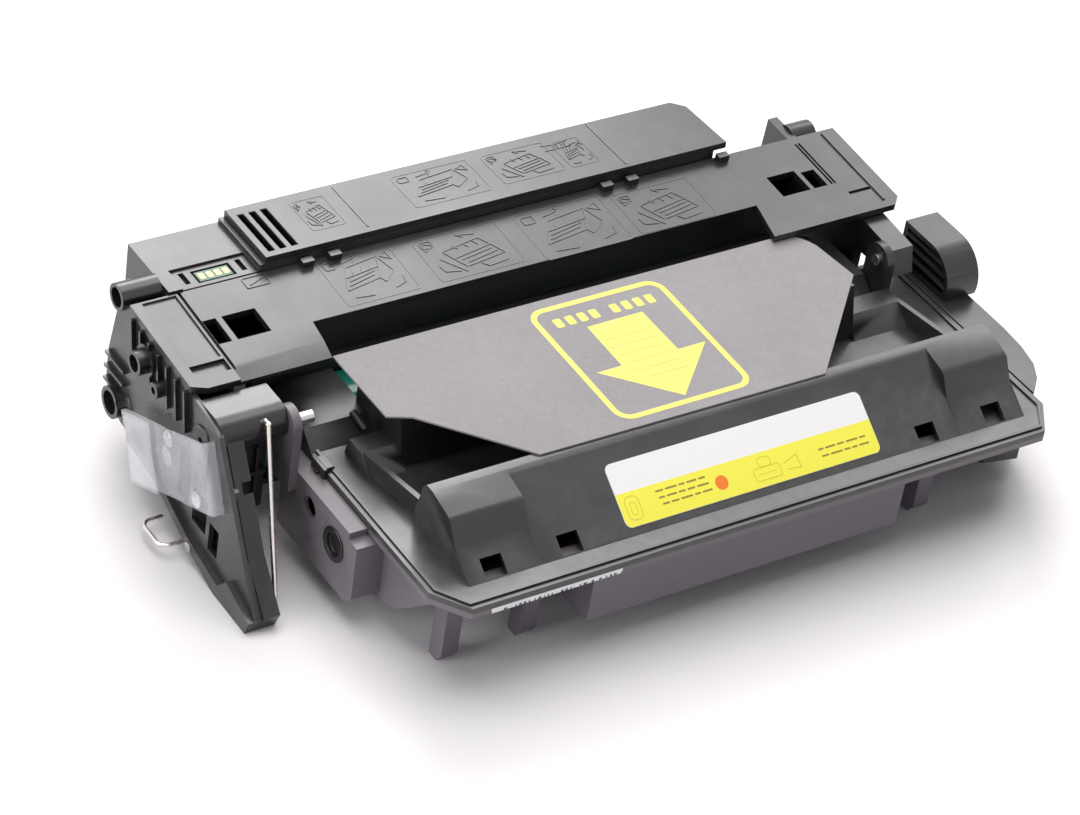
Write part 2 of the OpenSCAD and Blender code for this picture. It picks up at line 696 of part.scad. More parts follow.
module waste_cover() color(black) place() {
    pitched() difference() {
        linear_extrude(cover_t) cover_outline();
        window(cover_x0 + 21, 5.5, 13.5);
        window(cover_x0 + 29, 14, 13.5);
        window(cover_x1 - 46, 13.5, 12.5);
        window(cover_x1 - 30.5, 6.5, 10.5);
        // Long panel and small pocket at the left end, and the groove beside them
        translate([cover_x0 + 4.5, 14, cover_t - 0.8]) cube([14, cover_d - 15, 2]);
        translate([cover_x0 + 4.5, 6.3, cover_t - 1.6]) cube([14.4, 6.2, 3]);
        translate([cover_x0 + 19.6, 6, cover_t - 1.2]) cube([1.2, cover_d, 2]);
        // The front of the left lip slopes down
        translate([cover_x0 + 19.6, 8.5, cover_t]) rotate([9, 0, 0])
            translate([0, -12, 0]) cube([lip_l, 12, 3]);
        // Grooves and a slot at the right end
        translate([cover_x1 - 22.2, 20, cover_t - 1.2]) cube([0.9, 27, 2]);
        translate([cover_x1 - 20.6, 20, cover_t - 1.2]) cube([0.9, 27, 2]);
        translate([cover_x1 - 18.5, 11.8, cover_t - 1.2]) cube([10.5, 1.6, 2]);
    }
    pitched() translate([cover_x1 - 7.5, 4, cover_t - 0.2]) cube([1, cover_d - 6, 0.9]);
    pitched() for (x = tab_places) translate([x, cover_d - 4, cover_t - 0.2]) cube([5, 3, 3.2]);
}

module rear_outline() polygon([
    [rear_x0, step_y - wall], [rear_x1, step_y - wall], [rear_x1 - 1, rear_y - 5],
    [rear_x1 - 6, rear_y], [rear_x0, rear_y]
]);

module rear_cover() color(black) place() difference() {
    translate([0, 0, rear_h - cover_t]) linear_extrude(cover_t) rear_outline();
    for (k = [0:2]) block([rear_x0 + 3 + 5 * k, step_y + 1, rear_h - cover_t - 1],
        [rear_x0 + 5.5 + 5 * k, rear_y - 5, rear_h + 1]);
}

// Side frames

sole = -seam_h;
boss_y = slot_y + 34;
boss_z = cover_lo - 6.5;

// The plate behind the ribs: its lower edge is the rail, its upper edge follows the waste cover
module left_outline() polygon([
    [slot_y - 54, sole], [slot_y - 30, sole], [slot_y - 8, sole + 6], [slot_y + 6, sole + 11],
    [slot_y + 20, sole + 17], [slot_y + 34, bin_floor - 9], [step_y - 1, bin_floor - 7],
    [step_y + 6, bin_floor - 3], [step_y + 12, bin_floor + 4], [step_y + 12, 3],
    [step_y + 7, cover_lo], [step_y + 4, cover_under(step_y)], [step_y - 2, cover_under(step_y - 2)],
    [slot_y + 2, cover_under(slot_y + 2)], [slot_y - 16, cover_lo - 2],
    [hinge_y - 3, cover_lo - 4], [slot_y - 56, sole + 6]
]);

// The rail is a curved band under the arm
module rail_outline() polygon([
    [slot_y - 54, sole], [slot_y - 30, sole], [slot_y - 8, sole + 6], [slot_y + 6, sole + 11],
    [slot_y + 20, sole + 17], [step_y - 11, bin_floor - 8], [step_y - 11, bin_floor - 4],
    [slot_y + 20, sole + 21.5], [slot_y + 6, sole + 15.5], [slot_y - 8, sole + 10.5],
    [slot_y - 32, sole + 5.5], [slot_y - 38, sole + 12], [slot_y - 56, sole + 6]
]);

// The arm's own plate: a slab that widens to the toe
module slab_outline() translate([slot_y, 0]) polygon([
    [-56, sole + 6], [-46, sole + 4], [-34, sole + 7], [-28, sole + 20], [-15, sole + 27],
    [-13, -4], [-20, 8], [-30, 4], [-32, -12], [-44, -20]
]);

module arm_outline() polygon([
    [slot_y - 54, sole + 1], [slot_y - 28, sole + 1], [slot_y - 16, sole + 18], [slot_y - 9, -6],
    [slot_y - 2, 4], [slot_y - 2, cover_lo - 6], [slot_y - 14, cover_lo - 5],
    [hinge_y - 3, cover_lo - 8], [slot_y - 42, -18], [slot_y - 57, sole + 7]
]);

// The head of the arm holds the hinge pin
head_r = 7.5;
module head_outline() {
    translate([hinge_y + 4.5, cover_lo - gap - head_r]) circle(r = head_r);
    translate([hinge_y + 4.5, cover_lo - gap - 2 * head_r])
        square([slot_y - 2 - hinge_y - 4.5, 2 * head_r]);
}

arm_x1 = arm_l_x0 - 2 * gap;
slab_x0 = left_x1 + 1.5;
cap_x1 = -box_out - 3.5 - gap;

module side_rib(y) along(left_x0 + 0.5, plate_x0 + 0.5) polygon([
    [y - 3, cover_under(y) - 17], [y - 1.8, cover_under(y) - 17],
    [y + 1.2, cover_under(y) - 0.2], [y, cover_under(y) - 0.3]
]);

module left_frame() color(black) place() difference() {
    union() {
        along(plate_x0, left_x1) left_outline();
        along(left_x0, arm_x1) rail_outline();
        along(slab_x0, arm_x1) arm_outline();
        along(slab_x0 - 2, slab_x0 + 1) slab_outline();
        along(left_x1 - 0.5, cap_x1) intersection() {
            head_outline();
            translate([hinge_y - 3, 0]) square(60);
        }
        rod(left_x0 + 2, slab_x0 + 4, hinge_y + 9, 13, 6.3);
        block([left_x0 + 2, hinge_y + 2.7, -6], [slab_x0 + 4, hinge_y + 15.3, 13]);
        // Two low crests on the head
        for (y = [hinge_y + 7, hinge_y + 11.5]) block([slab_x0 + 4, y, cover_lo - gap - 1],
            [slab_x0 + 14, y + 1.5, cover_lo - gap]);
        rod(left_x0 - 4, left_x1 - 1, boss_y, boss_z, 5);
        rod(left_x0 + 0.5, left_x1 - 1, boss_y, boss_z, 6.4);
        rod(left_x0 - 3, left_x1 - 1, boss_y - 14, boss_z - 3, 3.2);
        rod(left_x0 - 1, left_x1 - 1, step_y + 2, bin_floor + 1, 6.5);
        rod(left_x1 - 1, drum_x0 - 7, drum_y, drum_z, pin_r + 4);
        rod(left_x1 - 1, arm_l_x0 - 1, shutter_y, shutter_z, pin_r + 3);
        along(left_x1 - 1, bin_x0) translate([bin_front + 6, charger_z + 4]) square([14, 12]);
        rod(left_x0 + 1, bin_x0 - 1, step_y + 6, chip_top - 3, 5.5);
        for (k = [0:6]) side_rib(slot_y + 4 + 7 * k);
        // Ribs across the rear lobe
        for (k = [0:2]) block([left_x0 + 0.5, step_y - 4, -9 + 6 * k],
            [plate_x0 + 0.5, step_y + 11, -7.8 + 6 * k]);
    }
    rod(left_x0 - 5, left_x0 + 3, boss_y, boss_z, 3.4);
    rod(left_x0 - 4, left_x0 + 3, boss_y - 14, boss_z - 3, 1.5);
    rod(left_x0 - 2, left_x0 + 3, step_y + 2, bin_floor + 1, 4.8);
    rod(left_x0, left_x0 + 5, step_y + 6, chip_top - 3, 4);
    rod(left_x0 - 1, drum_x0, drum_y, drum_z, pin_r + 1.5);
    rod(left_x0 - 1, arm_l_x0, shutter_y, shutter_z, pin_r);
    rod(left_x1 + 7, 0, hinge_y, hinge_z, pin_r);
    rod(left_x0 + 1, left_x0 + 4, hinge_y + 9, 13, 1.6);
    for (q = [[4, -1], [9, -3.5]]) rod(left_x0 + 1, left_x0 + 4, hinge_y + q[0], q[1], 0.9);
    // Pockets between the rail and the arm
    block([left_x0 - 1, slot_y - 26, sole + 12.5], [slab_x0 + 4, slot_y - 19, sole + 25]);
    block([left_x0 - 1, slot_y - 16.5, sole + 17], [slab_x0, slot_y - 6, -10]);
    block([left_x0 - 1, slot_y - 3, bin_floor - 6], [slab_x0, slot_y + 6, 1]);
    block([arm_x1 - 4, slot_y - 30, -26], [arm_x1 + 1, slot_y - 18, 6]);
}

module right_outline() polygon([
    [slot_y - 26, sole], [slot_y, sole], [slot_y + 20, sole + 12], [slot_y + 34, bin_floor - 9],
    [step_y + 16, bin_floor - 9], [step_y + 20, bin_floor - 4], [step_y + 16, cover_under(step_y)],
    [slot_y + 2, cover_under(slot_y + 2)], [slot_y + 2, 4], [slot_y + 3, sole + 9],
    [slot_y - 6, sole + 9], [slot_y - 26, sole + 6]
]);

module right_frame() color(black) place() difference() {
    union() {
        along(right_x0, right_x1) right_outline();
        along(right_x0, right_x1 + 6) polygon([
            [hinge_y - 6, 13], [slot_y + 8, 11], [slot_y + 8, cover_lo], [hinge_y - 3, cover_lo - 3]
        ]);
        along(bin_x1, right_x0 + 1) translate([bin_front + 6, charger_z + 4]) square([14, 12]);
        rod(right_x1 - 1, right_x1 + 7, boss_y, boss_z - 1, 5);
        rod(right_x1 - 1, cover_x1 - 4, step_y + 7, chip_top - 9, 6);
        rod(arm_r_x0 + arm_t + 0.8, right_x0 + 1, shutter_y, shutter_z, pin_r + 3);
    }
    rod(right_x0 - 1, right_x1 + 1, drum_y, drum_z, 9 + run_fit);
    rod(right_x0 - 3, right_x1 + 1, shutter_y, shutter_z, pin_r);
    rod(right_x0 - 1, right_x1 + 7, hinge_y, hinge_z, pin_r);
    rod(right_x1 + 1, right_x1 + 8, boss_y, boss_z - 1, 3.4);
    for (k = [0:2]) block([right_x1 - 2.2, slot_y + 12 + 12 * k, 12],
        [right_x1 + 1, slot_y + 20 + 12 * k, 24]);
}

module frame_screws() color(steel) place() {
    for (q = [[slot_y + 14, -2], [slot_y - 10, -13]]) {
        rod(plate_x0 - 1.5, plate_x0, q[0], q[1], 3.2);
    }
    for (q = [[slot_y + 8, 6], [step_y - 24, 4]]) rod(right_x1, right_x1 + 1.5, q[0], q[1], 3.2);
}

// Drum

module drum_tube() color([0.16, 0.45, 0.42]) place()
    ring(drum_x0, drum_x1, drum_y, drum_z, drum_r, drum_r - drum_wall);

coupling_x = right_x1 + 1;

module drum_gear() color([0.2, 0.2, 0.22]) place() {
    difference() {
        union() {
            rod(drum_x1 - 7, drum_x1, drum_y, drum_z, drum_r - drum_wall);
            gear(drum_teeth, drum_y, drum_z, drum_turn);
            rod(gear_x1 - 1, coupling_x, drum_y, drum_z, 9);
        }
        ring(gear_x1 - 2, gear_x1 + 0.1, drum_y, drum_z, 14, 10.5);
        rod(drum_x1 - 8, gear_x0 + 3, drum_y, drum_z, 11);
    }
    translate([coupling_x, drum_y, drum_z]) rotate([90, 0, 90])
        linear_extrude(7, twist = -25, slices = 5) circle(r = 7, $fn = 3);
}

module drum_hub() color([0.2, 0.2, 0.22]) place() difference() {
    union() {
        rod(drum_x0, drum_x0 + 7, drum_y, drum_z, drum_r - drum_wall);
        rod(drum_x0 - 5, drum_x0, drum_y, drum_z, drum_r + 0.6);
    }
    rod(drum_x0 - 6, drum_x0 + 8, drum_y, drum_z, pin_r + 1.5 + run_fit);
}

module drum_axle() color(steel) place()
    rod(plate_x0 + 0.2, drum_x0 + 8, drum_y, drum_z, pin_r + 1.5);

module charge_roller() color([0.12, 0.12, 0.13]) place()
    ring(charger_x0, charger_x1, charger_y, charger_z, charger_r, pin_r);

module charge_shaft() color(steel) place()
    rod(charger_x0 - 8, charger_x1 + 8, charger_y, charger_z, pin_r);

module charger_holder(x0, x1) difference() {
    block([x0, charger_y - 5, charger_z - 4], [x1, charger_y + 5, charger_z + 5]);
    rod(x0 - 1, x1 + 1, charger_y, charger_z, pin_r + run_fit);
}

bearing_x0 = charger_x0 - 7;
bearing_x1 = charger_x1 + 2;

module charger_bearings() color([0.85, 0.85, 0.82]) place() {
    charger_holder(bearing_x0, bearing_x0 + 5);
    charger_holder(bearing_x1, bearing_x1 + 5);
}

// A close coil spring drawn as a stack of rings
module coil(length, turns, r, wire) for (k = [0:turns - 1])
    translate([0, 0, wire / 2 + k * (length - wire) / (turns - 1)])
    rotate_extrude() translate([r, 0]) circle(r = wire / 2, $fn = 16);

spring_h = 2.5;

module charger_springs() color(steel) place() for (x = [bearing_x0 + 2.5, bearing_x1 + 2.5])
    translate([x, charger_y, charger_z + 5]) coil(spring_h + charger_r - 5, 4, 1.8, 0.8);

// Cleaning blade

module wiper_bracket() color(steel) place() difference() {
    block([drum_x0 + 22, bin_front + 1, bin_floor - 1.2], [drum_x1 - 22, bin_front + 15, bin_floor]);
    for (x = [drum_x0 + 30, drum_x1 - 30]) translate([x, bin_front + 9, bin_floor - 2])
        cylinder(h = 4, r = 1.4);
}

module wiper_lip() color([0.8, 0.6, 0.3]) place()
    block([drum_x0 + 22, drum_y + sqrt(drum_r * drum_r - 9) + gap, bin_floor - 1.2],
        [drum_x1 - 22, bin_front + 1, bin_floor]);

module wiper_screws() color(steel) place() for (x = [drum_x0 + 30, drum_x1 - 30])
    translate([x, bin_front + 9, 0]) {
        translate([0, 0, bin_floor - 1.2]) cylinder(h = 3, r = 1.4);
        translate([0, 0, bin_floor - 2.8]) cylinder(h = 1.6, r = 2.6);
    }

// Memory chip

chip_x0 = bin_x0 + 6;
chip_l = 32;
chip_deep = 5;

module chip_holder() color(black) place() difference() {
    block([chip_x0 + 0.1, step_y - wall + gap, chip_top - chip_deep],
        [chip_x0 + chip_l - 0.1, step_y + 9.9, chip_top - 1]);
    block([chip_x0 + 8, step_y, chip_top - 2.2], [chip_x0 + 24, step_y + 7.5, chip_top]);
    for (x = [chip_x0 + 3, chip_x0 + 27])
        block([x, step_y + 1, chip_top - 3], [x + 2, step_y + 8, chip_top]);
}

module memory_chip() color([0.5, 0.7, 0.6]) place()
    block([chip_x0 + 9, step_y + 0.8, chip_top - 2.2], [chip_x0 + 23, step_y + 6.7, chip_top - 1.2]);

// Hinge pins and shutter

module pivot_pins() color(steel) place() {
    rod(left_x1 + 7, -gap, hinge_y, hinge_z, pin_r);
    rod(lug_x0 - 1, right_x1 + 6, hinge_y, hinge_z, pin_r);
}

module sector(r_in, r_out, a0, a1) translate([drum_y, drum_z]) difference() {
    circle(r = r_out);
    circle(r = r_in);
    rotate(a1) square([60, 60]);
    rotate(a1 + 90) square([60, 60]);
    rotate(a0 - 90) square([60, 60]);
}

module shutter_arm(x0) difference() {
    union() {
        along(x0, x0 + arm_t) sector(shutter_r, shutter_r + 7, -130, -10);
        along(x0, x0 + arm_t) polygon([
            [drum_y + shutter_r + 0.4, drum_z - 4], [shutter_y, shutter_z + 5.5],
            [shutter_y + 2, shutter_z - 5], [drum_y + shutter_r + 3, drum_z - 12]
        ]);
        rod(x0, x0 + arm_t, shutter_y, shutter_z, 6);
    }
    rod(x0 - 1, x0 + arm_t + 1, shutter_y, shutter_z, pin_r + run_fit);
}

module drum_shutter() color(black) place() {
    along(arm_l_x0 + 0.5, arm_r_x0 + 0.5) sector(shutter_r, shutter_r + shutter_t, -145, -25);
    shutter_arm(arm_l_x0);
    shutter_arm(arm_r_x0);
}

module shutter_pins() color(steel) place() {
    rod(plate_x0, arm_l_x0 + arm_t + 1, shutter_y, shutter_z, pin_r);
    rod(arm_r_x0 - 1, right_x1, shutter_y, shutter_z, pin_r);
}

module shutter_spring() color(steel) place()
    translate([arm_l_x0 + arm_t + 0.15, shutter_y, shutter_z]) rotate([0, 90, 0])
    coil(1.7, 2, pin_r + 0.7, 0.8);

wire_r = wire_d / 2;
wire_x = cap_x1 - 9.5;

module shutter_wire() color(steel) place() {
    top = [wire_x, hinge_y - 4.5, hinge_z + 5.5];
    low = [wire_x - 6, slot_y - 49, sole + wire_r];
    run = top - low;
    translate(low) rotate([0, acos(run[2] / norm(run)), atan2(run[1], run[0])])
        cylinder(h = norm(run), r = wire_r);
    translate(top) sphere(r = wire_r + 0.15);
    translate(top) rotate([-90, 0, 0]) cylinder(h = 2.6, r = wire_r);
}

loop_r = wire_d * 0.4;
loop_z = sole + 6;

module contact_loop() color(steel) place() {
    x1 = left_x0 + 0.2;
    x0 = left_x0 - 9;
    y0 = slot_y - 5;
    y1 = slot_y + 11;
    bend = 4;
    for (y = [y0, y1]) rod(x0 + bend, x1, y, loop_z, loop_r);
    translate([x0, y0 + bend, loop_z]) rotate([-90, 0, 0]) cylinder(h = y1 - y0 - 2 * bend, r = loop_r);
    translate([x0 + bend, y0 + bend, loop_z]) rotate(180) rotate_extrude(angle = 90)
        translate([bend, 0]) circle(r = loop_r);
    translate([x0 + bend, y1 - bend, loop_z]) rotate(90) rotate_extrude(angle = 90)
        translate([bend, 0]) circle(r = loop_r);
}

hopper_tray();
hopper_lid();
side_box();
gear_cover();
end_handle();
fill_cap();
outlet_seal();
pull_film();
front_label();
bar_code_strip();
protective_card();
doctor_bracket();
doctor_lip();
doctor_screws();
magnet_core();
sleeve_bushings();
developer_sleeve();
sleeve_gear();
idler_gear();
idler_stud();
agitator_shaft();
agitator_vane();
agitator_gear();
waste_bin();
waste_cover();
rear_cover();
left_frame();
right_frame();
frame_screws();
drum_tube();
drum_gear();
drum_hub();
drum_axle();
charge_roller();
charge_shaft();
charger_bearings();
charger_springs();
wiper_bracket();
wiper_lip();
wiper_screws();
chip_holder();
memory_chip();
pivot_pins();
drum_shutter();
shutter_pins();
shutter_spring();
shutter_wire();
contact_loop();
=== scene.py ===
from math import atan2, cos, hypot, radians, sin

import bmesh
import bpy
from mathutils import Matrix, Vector


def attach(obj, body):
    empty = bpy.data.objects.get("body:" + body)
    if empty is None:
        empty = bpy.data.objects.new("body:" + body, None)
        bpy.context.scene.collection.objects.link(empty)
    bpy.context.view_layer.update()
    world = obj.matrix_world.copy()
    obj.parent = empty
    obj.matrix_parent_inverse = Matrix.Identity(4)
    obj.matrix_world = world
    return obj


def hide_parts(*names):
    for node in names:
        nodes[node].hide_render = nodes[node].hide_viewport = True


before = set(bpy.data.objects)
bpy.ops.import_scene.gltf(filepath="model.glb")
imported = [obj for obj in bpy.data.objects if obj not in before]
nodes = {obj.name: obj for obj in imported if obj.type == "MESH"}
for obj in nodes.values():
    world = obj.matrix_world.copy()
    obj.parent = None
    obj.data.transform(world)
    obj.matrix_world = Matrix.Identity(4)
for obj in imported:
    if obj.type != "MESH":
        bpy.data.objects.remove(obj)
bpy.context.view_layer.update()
scene = bpy.context.scene
scene.view_settings.view_transform = "Standard"
mm = 0.001

# The CAD source works from the hopper flange's front left corner at its seam.
# The same numbers are used here and moved by this step.
flangeCorner = Vector((-123.1, -100.95, 42.0)) * mm


def place(x, y, z):
    return flangeCorner + Vector((x, y, z)) * mm


print("stage: camera, lights and floor")

view = {
    "place": (-0.722454, -0.908099, 0.906300),
    "right": (0.84007492, -0.52728277, 0.12746373),
    "up": (0.238905, 0.57056784, 0.78573326),
    "lens": 125.563,
    "sensor": 36.0,
}


def addCamera():
    data = bpy.data.cameras.new("camera")
    data.lens = view["lens"]
    data.sensor_width = view["sensor"]
    data.clip_start = 0.05
    data.clip_end = 20.0
    camera = bpy.data.objects.new("camera", data)
    scene.collection.objects.link(camera)
    right = Vector(view["right"]).normalized()
    up = Vector(view["up"])
    up = (up - right * up.dot(right)).normalized()
    turn = Matrix((right, up, right.cross(up))).transposed()
    camera.matrix_world = Matrix.Translation(view["place"]) @ turn.to_4x4()
    scene.camera = camera


lamps = [
    # name, place, aim, size, watts, colour
    ("topSoftbox", (-0.05, 0.15, 1.5), (0.0, 0.0, 0.0), 1.4, 22.0, (1.0, 0.985, 0.97)),
    ("rearSoftbox", (0.42, 1.12, 1.08), (-0.05, 0.02, 0.05), 0.76, 15.0, (1.0, 0.98, 0.975)),
    ("sideSoftbox", (1.05, 0.62, 0.92), (0.05, -0.02, 0.04), 0.5, 3.6, (1.0, 0.98, 0.98)),
    ("leftSoftbox", (-1.45, 0.05, 0.42), (-0.05, 0.0, 0.04), 0.8, 11.0, (1.0, 0.98, 1.0)),
]


def addLamps():
    for name, spot, aim, size, watts, colour in lamps:
        data = bpy.data.lights.new(name, "AREA")
        data.shape = "SQUARE"
        data.size = size
        data.energy = watts
        data.color = colour
        lamp = bpy.data.objects.new(name, data)
        scene.collection.objects.link(lamp)
        lamp.location = spot
        lamp.rotation_euler = (Vector(aim) - Vector(spot)).to_track_quat("-Z", "Y").to_euler()


surround = {
    "ambient": (0.9, 0.9, 0.93, 1.0),
    "ambientStrength": 0.33,
    "seen": (0.985, 0.975, 0.99, 1.0),
}


def addWorld():
    world = bpy.data.worlds.new("paleRoom")
    scene.world = world
    world.use_nodes = True
    tree = world.node_tree
    tree.nodes.clear()
    out = tree.nodes.new("ShaderNodeOutputWorld")
    ambient = tree.nodes.new("ShaderNodeBackground")
    ambient.inputs["Color"].default_value = surround["ambient"]
    ambient.inputs["Strength"].default_value = surround["ambientStrength"]
    seen = tree.nodes.new("ShaderNodeBackground")
    seen.inputs["Color"].default_value = surround["seen"]
    rays = tree.nodes.new("ShaderNodeLightPath")
    either = tree.nodes.new("ShaderNodeMath")
    either.operation = "MAXIMUM"
    third = tree.nodes.new("ShaderNodeMath")
    third.operation = "MAXIMUM"
    tree.links.new(rays.outputs["Is Camera Ray"], either.inputs[0])
    tree.links.new(rays.outputs["Is Glossy Ray"], either.inputs[1])
    tree.links.new(either.outputs[0], third.inputs[0])
    tree.links.new(rays.outputs["Is Transmission Ray"], third.inputs[1])
    mix = tree.nodes.new("ShaderNodeMixShader")
    tree.links.new(third.outputs[0], mix.inputs["Fac"])
    tree.links.new(ambient.outputs[0], mix.inputs[1])
    tree.links.new(seen.outputs[0], mix.inputs[2])
    tree.links.new(mix.outputs[0], out.inputs["Surface"])


floorCloth = {
    "colour": (0.80, 0.785, 0.80, 1.0),
    "far": (0.985, 0.98, 0.99, 1.0),
    "shadowReach": 0.27,    # metres from the middle where the floor starts to fade to plain white
    "fadeEnd": 0.62,
}


def makeFloorCloth():
    # Near the object the floor takes its shadow, and further out it is plain white to the camera
    material = bpy.data.materials.new("paleCloth")
    material.use_nodes = True
    tree = material.node_tree
    shader = tree.nodes["Principled BSDF"]
    shader.inputs["Base Color"].default_value = floorCloth["colour"]
    shader.inputs["Roughness"].default_value = 0.85
    shader.inputs["Specular IOR Level"].default_value = 0.1
    plain = tree.nodes.new("ShaderNodeEmission")
    plain.inputs["Color"].default_value = floorCloth["far"]
    where = tree.nodes.new("ShaderNodeTexCoord").outputs["Object"]
    away = tree.nodes.new("ShaderNodeVectorMath")
    away.operation = "LENGTH"
    tree.links.new(where, away.inputs[0])
    fade = tree.nodes.new("ShaderNodeMapRange")
    fade.interpolation_type = "SMOOTHSTEP"
    fade.inputs["From Min"].default_value = floorCloth["shadowReach"]
    fade.inputs["From Max"].default_value = floorCloth["fadeEnd"]
    tree.links.new(away.outputs["Value"], fade.inputs["Value"])
    seen = tree.nodes.new("ShaderNodeMath")
    seen.operation = "MULTIPLY"
    tree.links.new(fade.outputs["Result"], seen.inputs[0])
    tree.links.new(tree.nodes.new("ShaderNodeLightPath").outputs["Is Camera Ray"], seen.inputs[1])
    mix = tree.nodes.new("ShaderNodeMixShader")
    tree.links.new(seen.outputs[0], mix.inputs["Fac"])
    tree.links.new(shader.outputs[0], mix.inputs[1])
    tree.links.new(plain.outputs[0], mix.inputs[2])
    tree.links.new(mix.outputs[0], tree.nodes["Material Output"].inputs["Surface"])
    return material


def addFloor():
    bm = bmesh.new()
    bmesh.ops.create_circle(bm, cap_ends=True, segments=64, radius=4.0)
    mesh = bpy.data.meshes.new("floor")
    bm.to_mesh(mesh)
    bm.free()
    floor = bpy.data.objects.new("floor", mesh)
    scene.collection.objects.link(floor)
    mesh.materials.append(makeFloorCloth())


addCamera()
addLamps()
addWorld()
addFloor()

print("stage: shared effects")


def newGroup(name, inputs, outputs):
    group = bpy.data.node_groups.new(name, "ShaderNodeTree")
    for label, kind, value in inputs:
        socket = group.interface.new_socket(label, in_out="INPUT", socket_type=kind)
        socket.default_value = value
    for label, kind in outputs:
        group.interface.new_socket(label, in_out="OUTPUT", socket_type=kind)
    return group, group.nodes.new("NodeGroupInput"), group.nodes.new("NodeGroupOutput")


number = "NodeSocketFloat"


def addMath(tree, operation, first, second, clamp=False):
    node = tree.nodes.new("ShaderNodeMath")
    node.operation = operation
    node.use_clamp = clamp
    for socket, value in zip(node.inputs, (first, second)):
        if isinstance(value, (int, float)):
            socket.default_value = value
        else:
            tree.links.new(value, socket)
    return node.outputs[0]


def addNoise(tree, vector, scale, detail=2.0, rough=0.5):
    node = tree.nodes.new("ShaderNodeTexNoise")
    node.inputs["Detail"].default_value = detail
    node.inputs["Roughness"].default_value = rough
    tree.links.new(vector, node.inputs["Vector"])
    if isinstance(scale, (int, float)):
        node.inputs["Scale"].default_value = scale
    else:
        tree.links.new(scale, node.inputs["Scale"])
    return node.outputs["Fac"]


def makeGrainGroup():
    # Fine moulded grain, as a height in millimetres and as a patchy mask
    group, given, result = newGroup(
        "mouldedGrain",
        [("Grain Scale", number, 1500.0), ("Patch Scale", number, 30.0)],
        [("Height", number), ("Patches", number)],
    )
    where = group.nodes.new("ShaderNodeTexCoord").outputs["Object"]
    fine = addNoise(group, where, given.outputs["Grain Scale"], 3.0, 0.6)
    broad = addNoise(group, where, given.outputs["Patch Scale"], 2.0, 0.5)
    group.links.new(fine, result.inputs["Height"])
    group.links.new(broad, result.inputs["Patches"])
    return group


def makeWearAndHighlightGroup():
    # Bright rubbed edges, partly wear and partly a painted highlight where glossy edges catch the
    # light, broken up so that they don't run evenly
    group, given, result = newGroup(
        "rubbedEdgesAndHighlight",
        [("Start", number, 0.54), ("Amount", number, 0.5)],
        [("Mask", number)],
    )
    where = group.nodes.new("ShaderNodeTexCoord").outputs["Object"]
    edge = group.nodes.new("ShaderNodeNewGeometry").outputs["Pointiness"]
    over = addMath(group, "SUBTRACT", edge, given.outputs["Start"])
    steep = addMath(group, "MULTIPLY", over, 9.0, True)
    broken = addNoise(group, where, 160.0, 3.0, 0.6)
    patchy = addMath(group, "MULTIPLY", steep, broken, True)
    mask = addMath(group, "MULTIPLY", patchy, given.outputs["Amount"], True)
    group.links.new(mask, result.inputs["Mask"])
    return group


def makeDustGroup():
    # A little dust that lies on faces that look up
    group, given, result = newGroup(
        "settledDust", [("Amount", number, 0.1)], [("Mask", number)]
    )
    where = group.nodes.new("ShaderNodeTexCoord").outputs["Object"]
    normal = group.nodes.new("ShaderNodeNewGeometry").outputs["Normal"]
    split = group.nodes.new("ShaderNodeSeparateXYZ")
    group.links.new(normal, split.inputs[0])
    up = addMath(group, "MULTIPLY", split.outputs["Z"], split.outputs["Z"], True)
    cloud = addNoise(group, where, 70.0, 5.0, 0.65)
    thin = addMath(group, "SUBTRACT", cloud, 0.35, True)
    dust = addMath(group, "MULTIPLY", up, thin, True)
    mask = addMath(group, "MULTIPLY", dust, given.outputs["Amount"], True)
    group.links.new(mask, result.inputs["Mask"])
    return group


grainGroup = makeGrainGroup()
wearAndHighlightGroup = makeWearAndHighlightGroup()
dustGroup = makeDustGroup()


def addGroup(tree, group, **values):
    node = tree.nodes.new("ShaderNodeGroup")
    node.node_tree = group
    for label, value in values.items():
        node.inputs[label].default_value = value
    return node


def addMix(tree, mask, first, second):
    node = tree.nodes.new("ShaderNodeMix")
    node.data_type = "RGBA"
    for label, value in (("Factor", mask), ("A", first), ("B", second)):
        socket = node.inputs[label]
        if isinstance(value, (int, float, tuple)):
            socket.default_value = value
        else:
            tree.links.new(value, socket)
    return node.outputs["Result"]


def addBump(tree, height, strength, distance):
    node = tree.nodes.new("ShaderNodeBump")
    node.inputs["Strength"].default_value = strength
    node.inputs["Distance"].default_value = distance
    tree.links.new(height, node.inputs["Height"])
    return node.outputs["Normal"]


def addRange(tree, value, low, high):
    node = tree.nodes.new("ShaderNodeMapRange")
    node.inputs["To Min"].default_value = low
    node.inputs["To Max"].default_value = high
    tree.links.new(value, node.inputs["Value"])
    return node.outputs["Result"]


print("stage: materials")


def newMaterial(name):
    material = bpy.data.materials.new(name)
    material.use_nodes = True
    return material, material.node_tree, material.node_tree.nodes["Principled BSDF"]


plastics = {
    # base, rubbed edge (wear and painted edge highlight), roughness low and high, grain scale, grain
    # depth in mm, dust
    "hopperBlack": ((0.008, 0.0075, 0.0078), (0.11, 0.11, 0.115), 0.24, 0.40, 1700.0, 0.02, 0.10),
    "coverBlack": ((0.009, 0.0085, 0.0085), (0.12, 0.11, 0.11), 0.27, 0.42, 1500.0, 0.02, 0.12),
    "frameBlack": ((0.0065, 0.006, 0.0065), (0.09, 0.09, 0.10), 0.22, 0.36, 1400.0, 0.02, 0.08),
    "trayGrey": ((0.100, 0.090, 0.102), (0.20, 0.18, 0.20), 0.42, 0.56, 1300.0, 0.03, 0.08),
    "naturalAcetal": ((0.62, 0.61, 0.56), (0.75, 0.74, 0.70), 0.30, 0.42, 1200.0, 0.01, 0.05),
    "blackAcetal": ((0.018, 0.018, 0.020), (0.08, 0.08, 0.09), 0.25, 0.35, 1200.0, 0.01, 0.05),
}


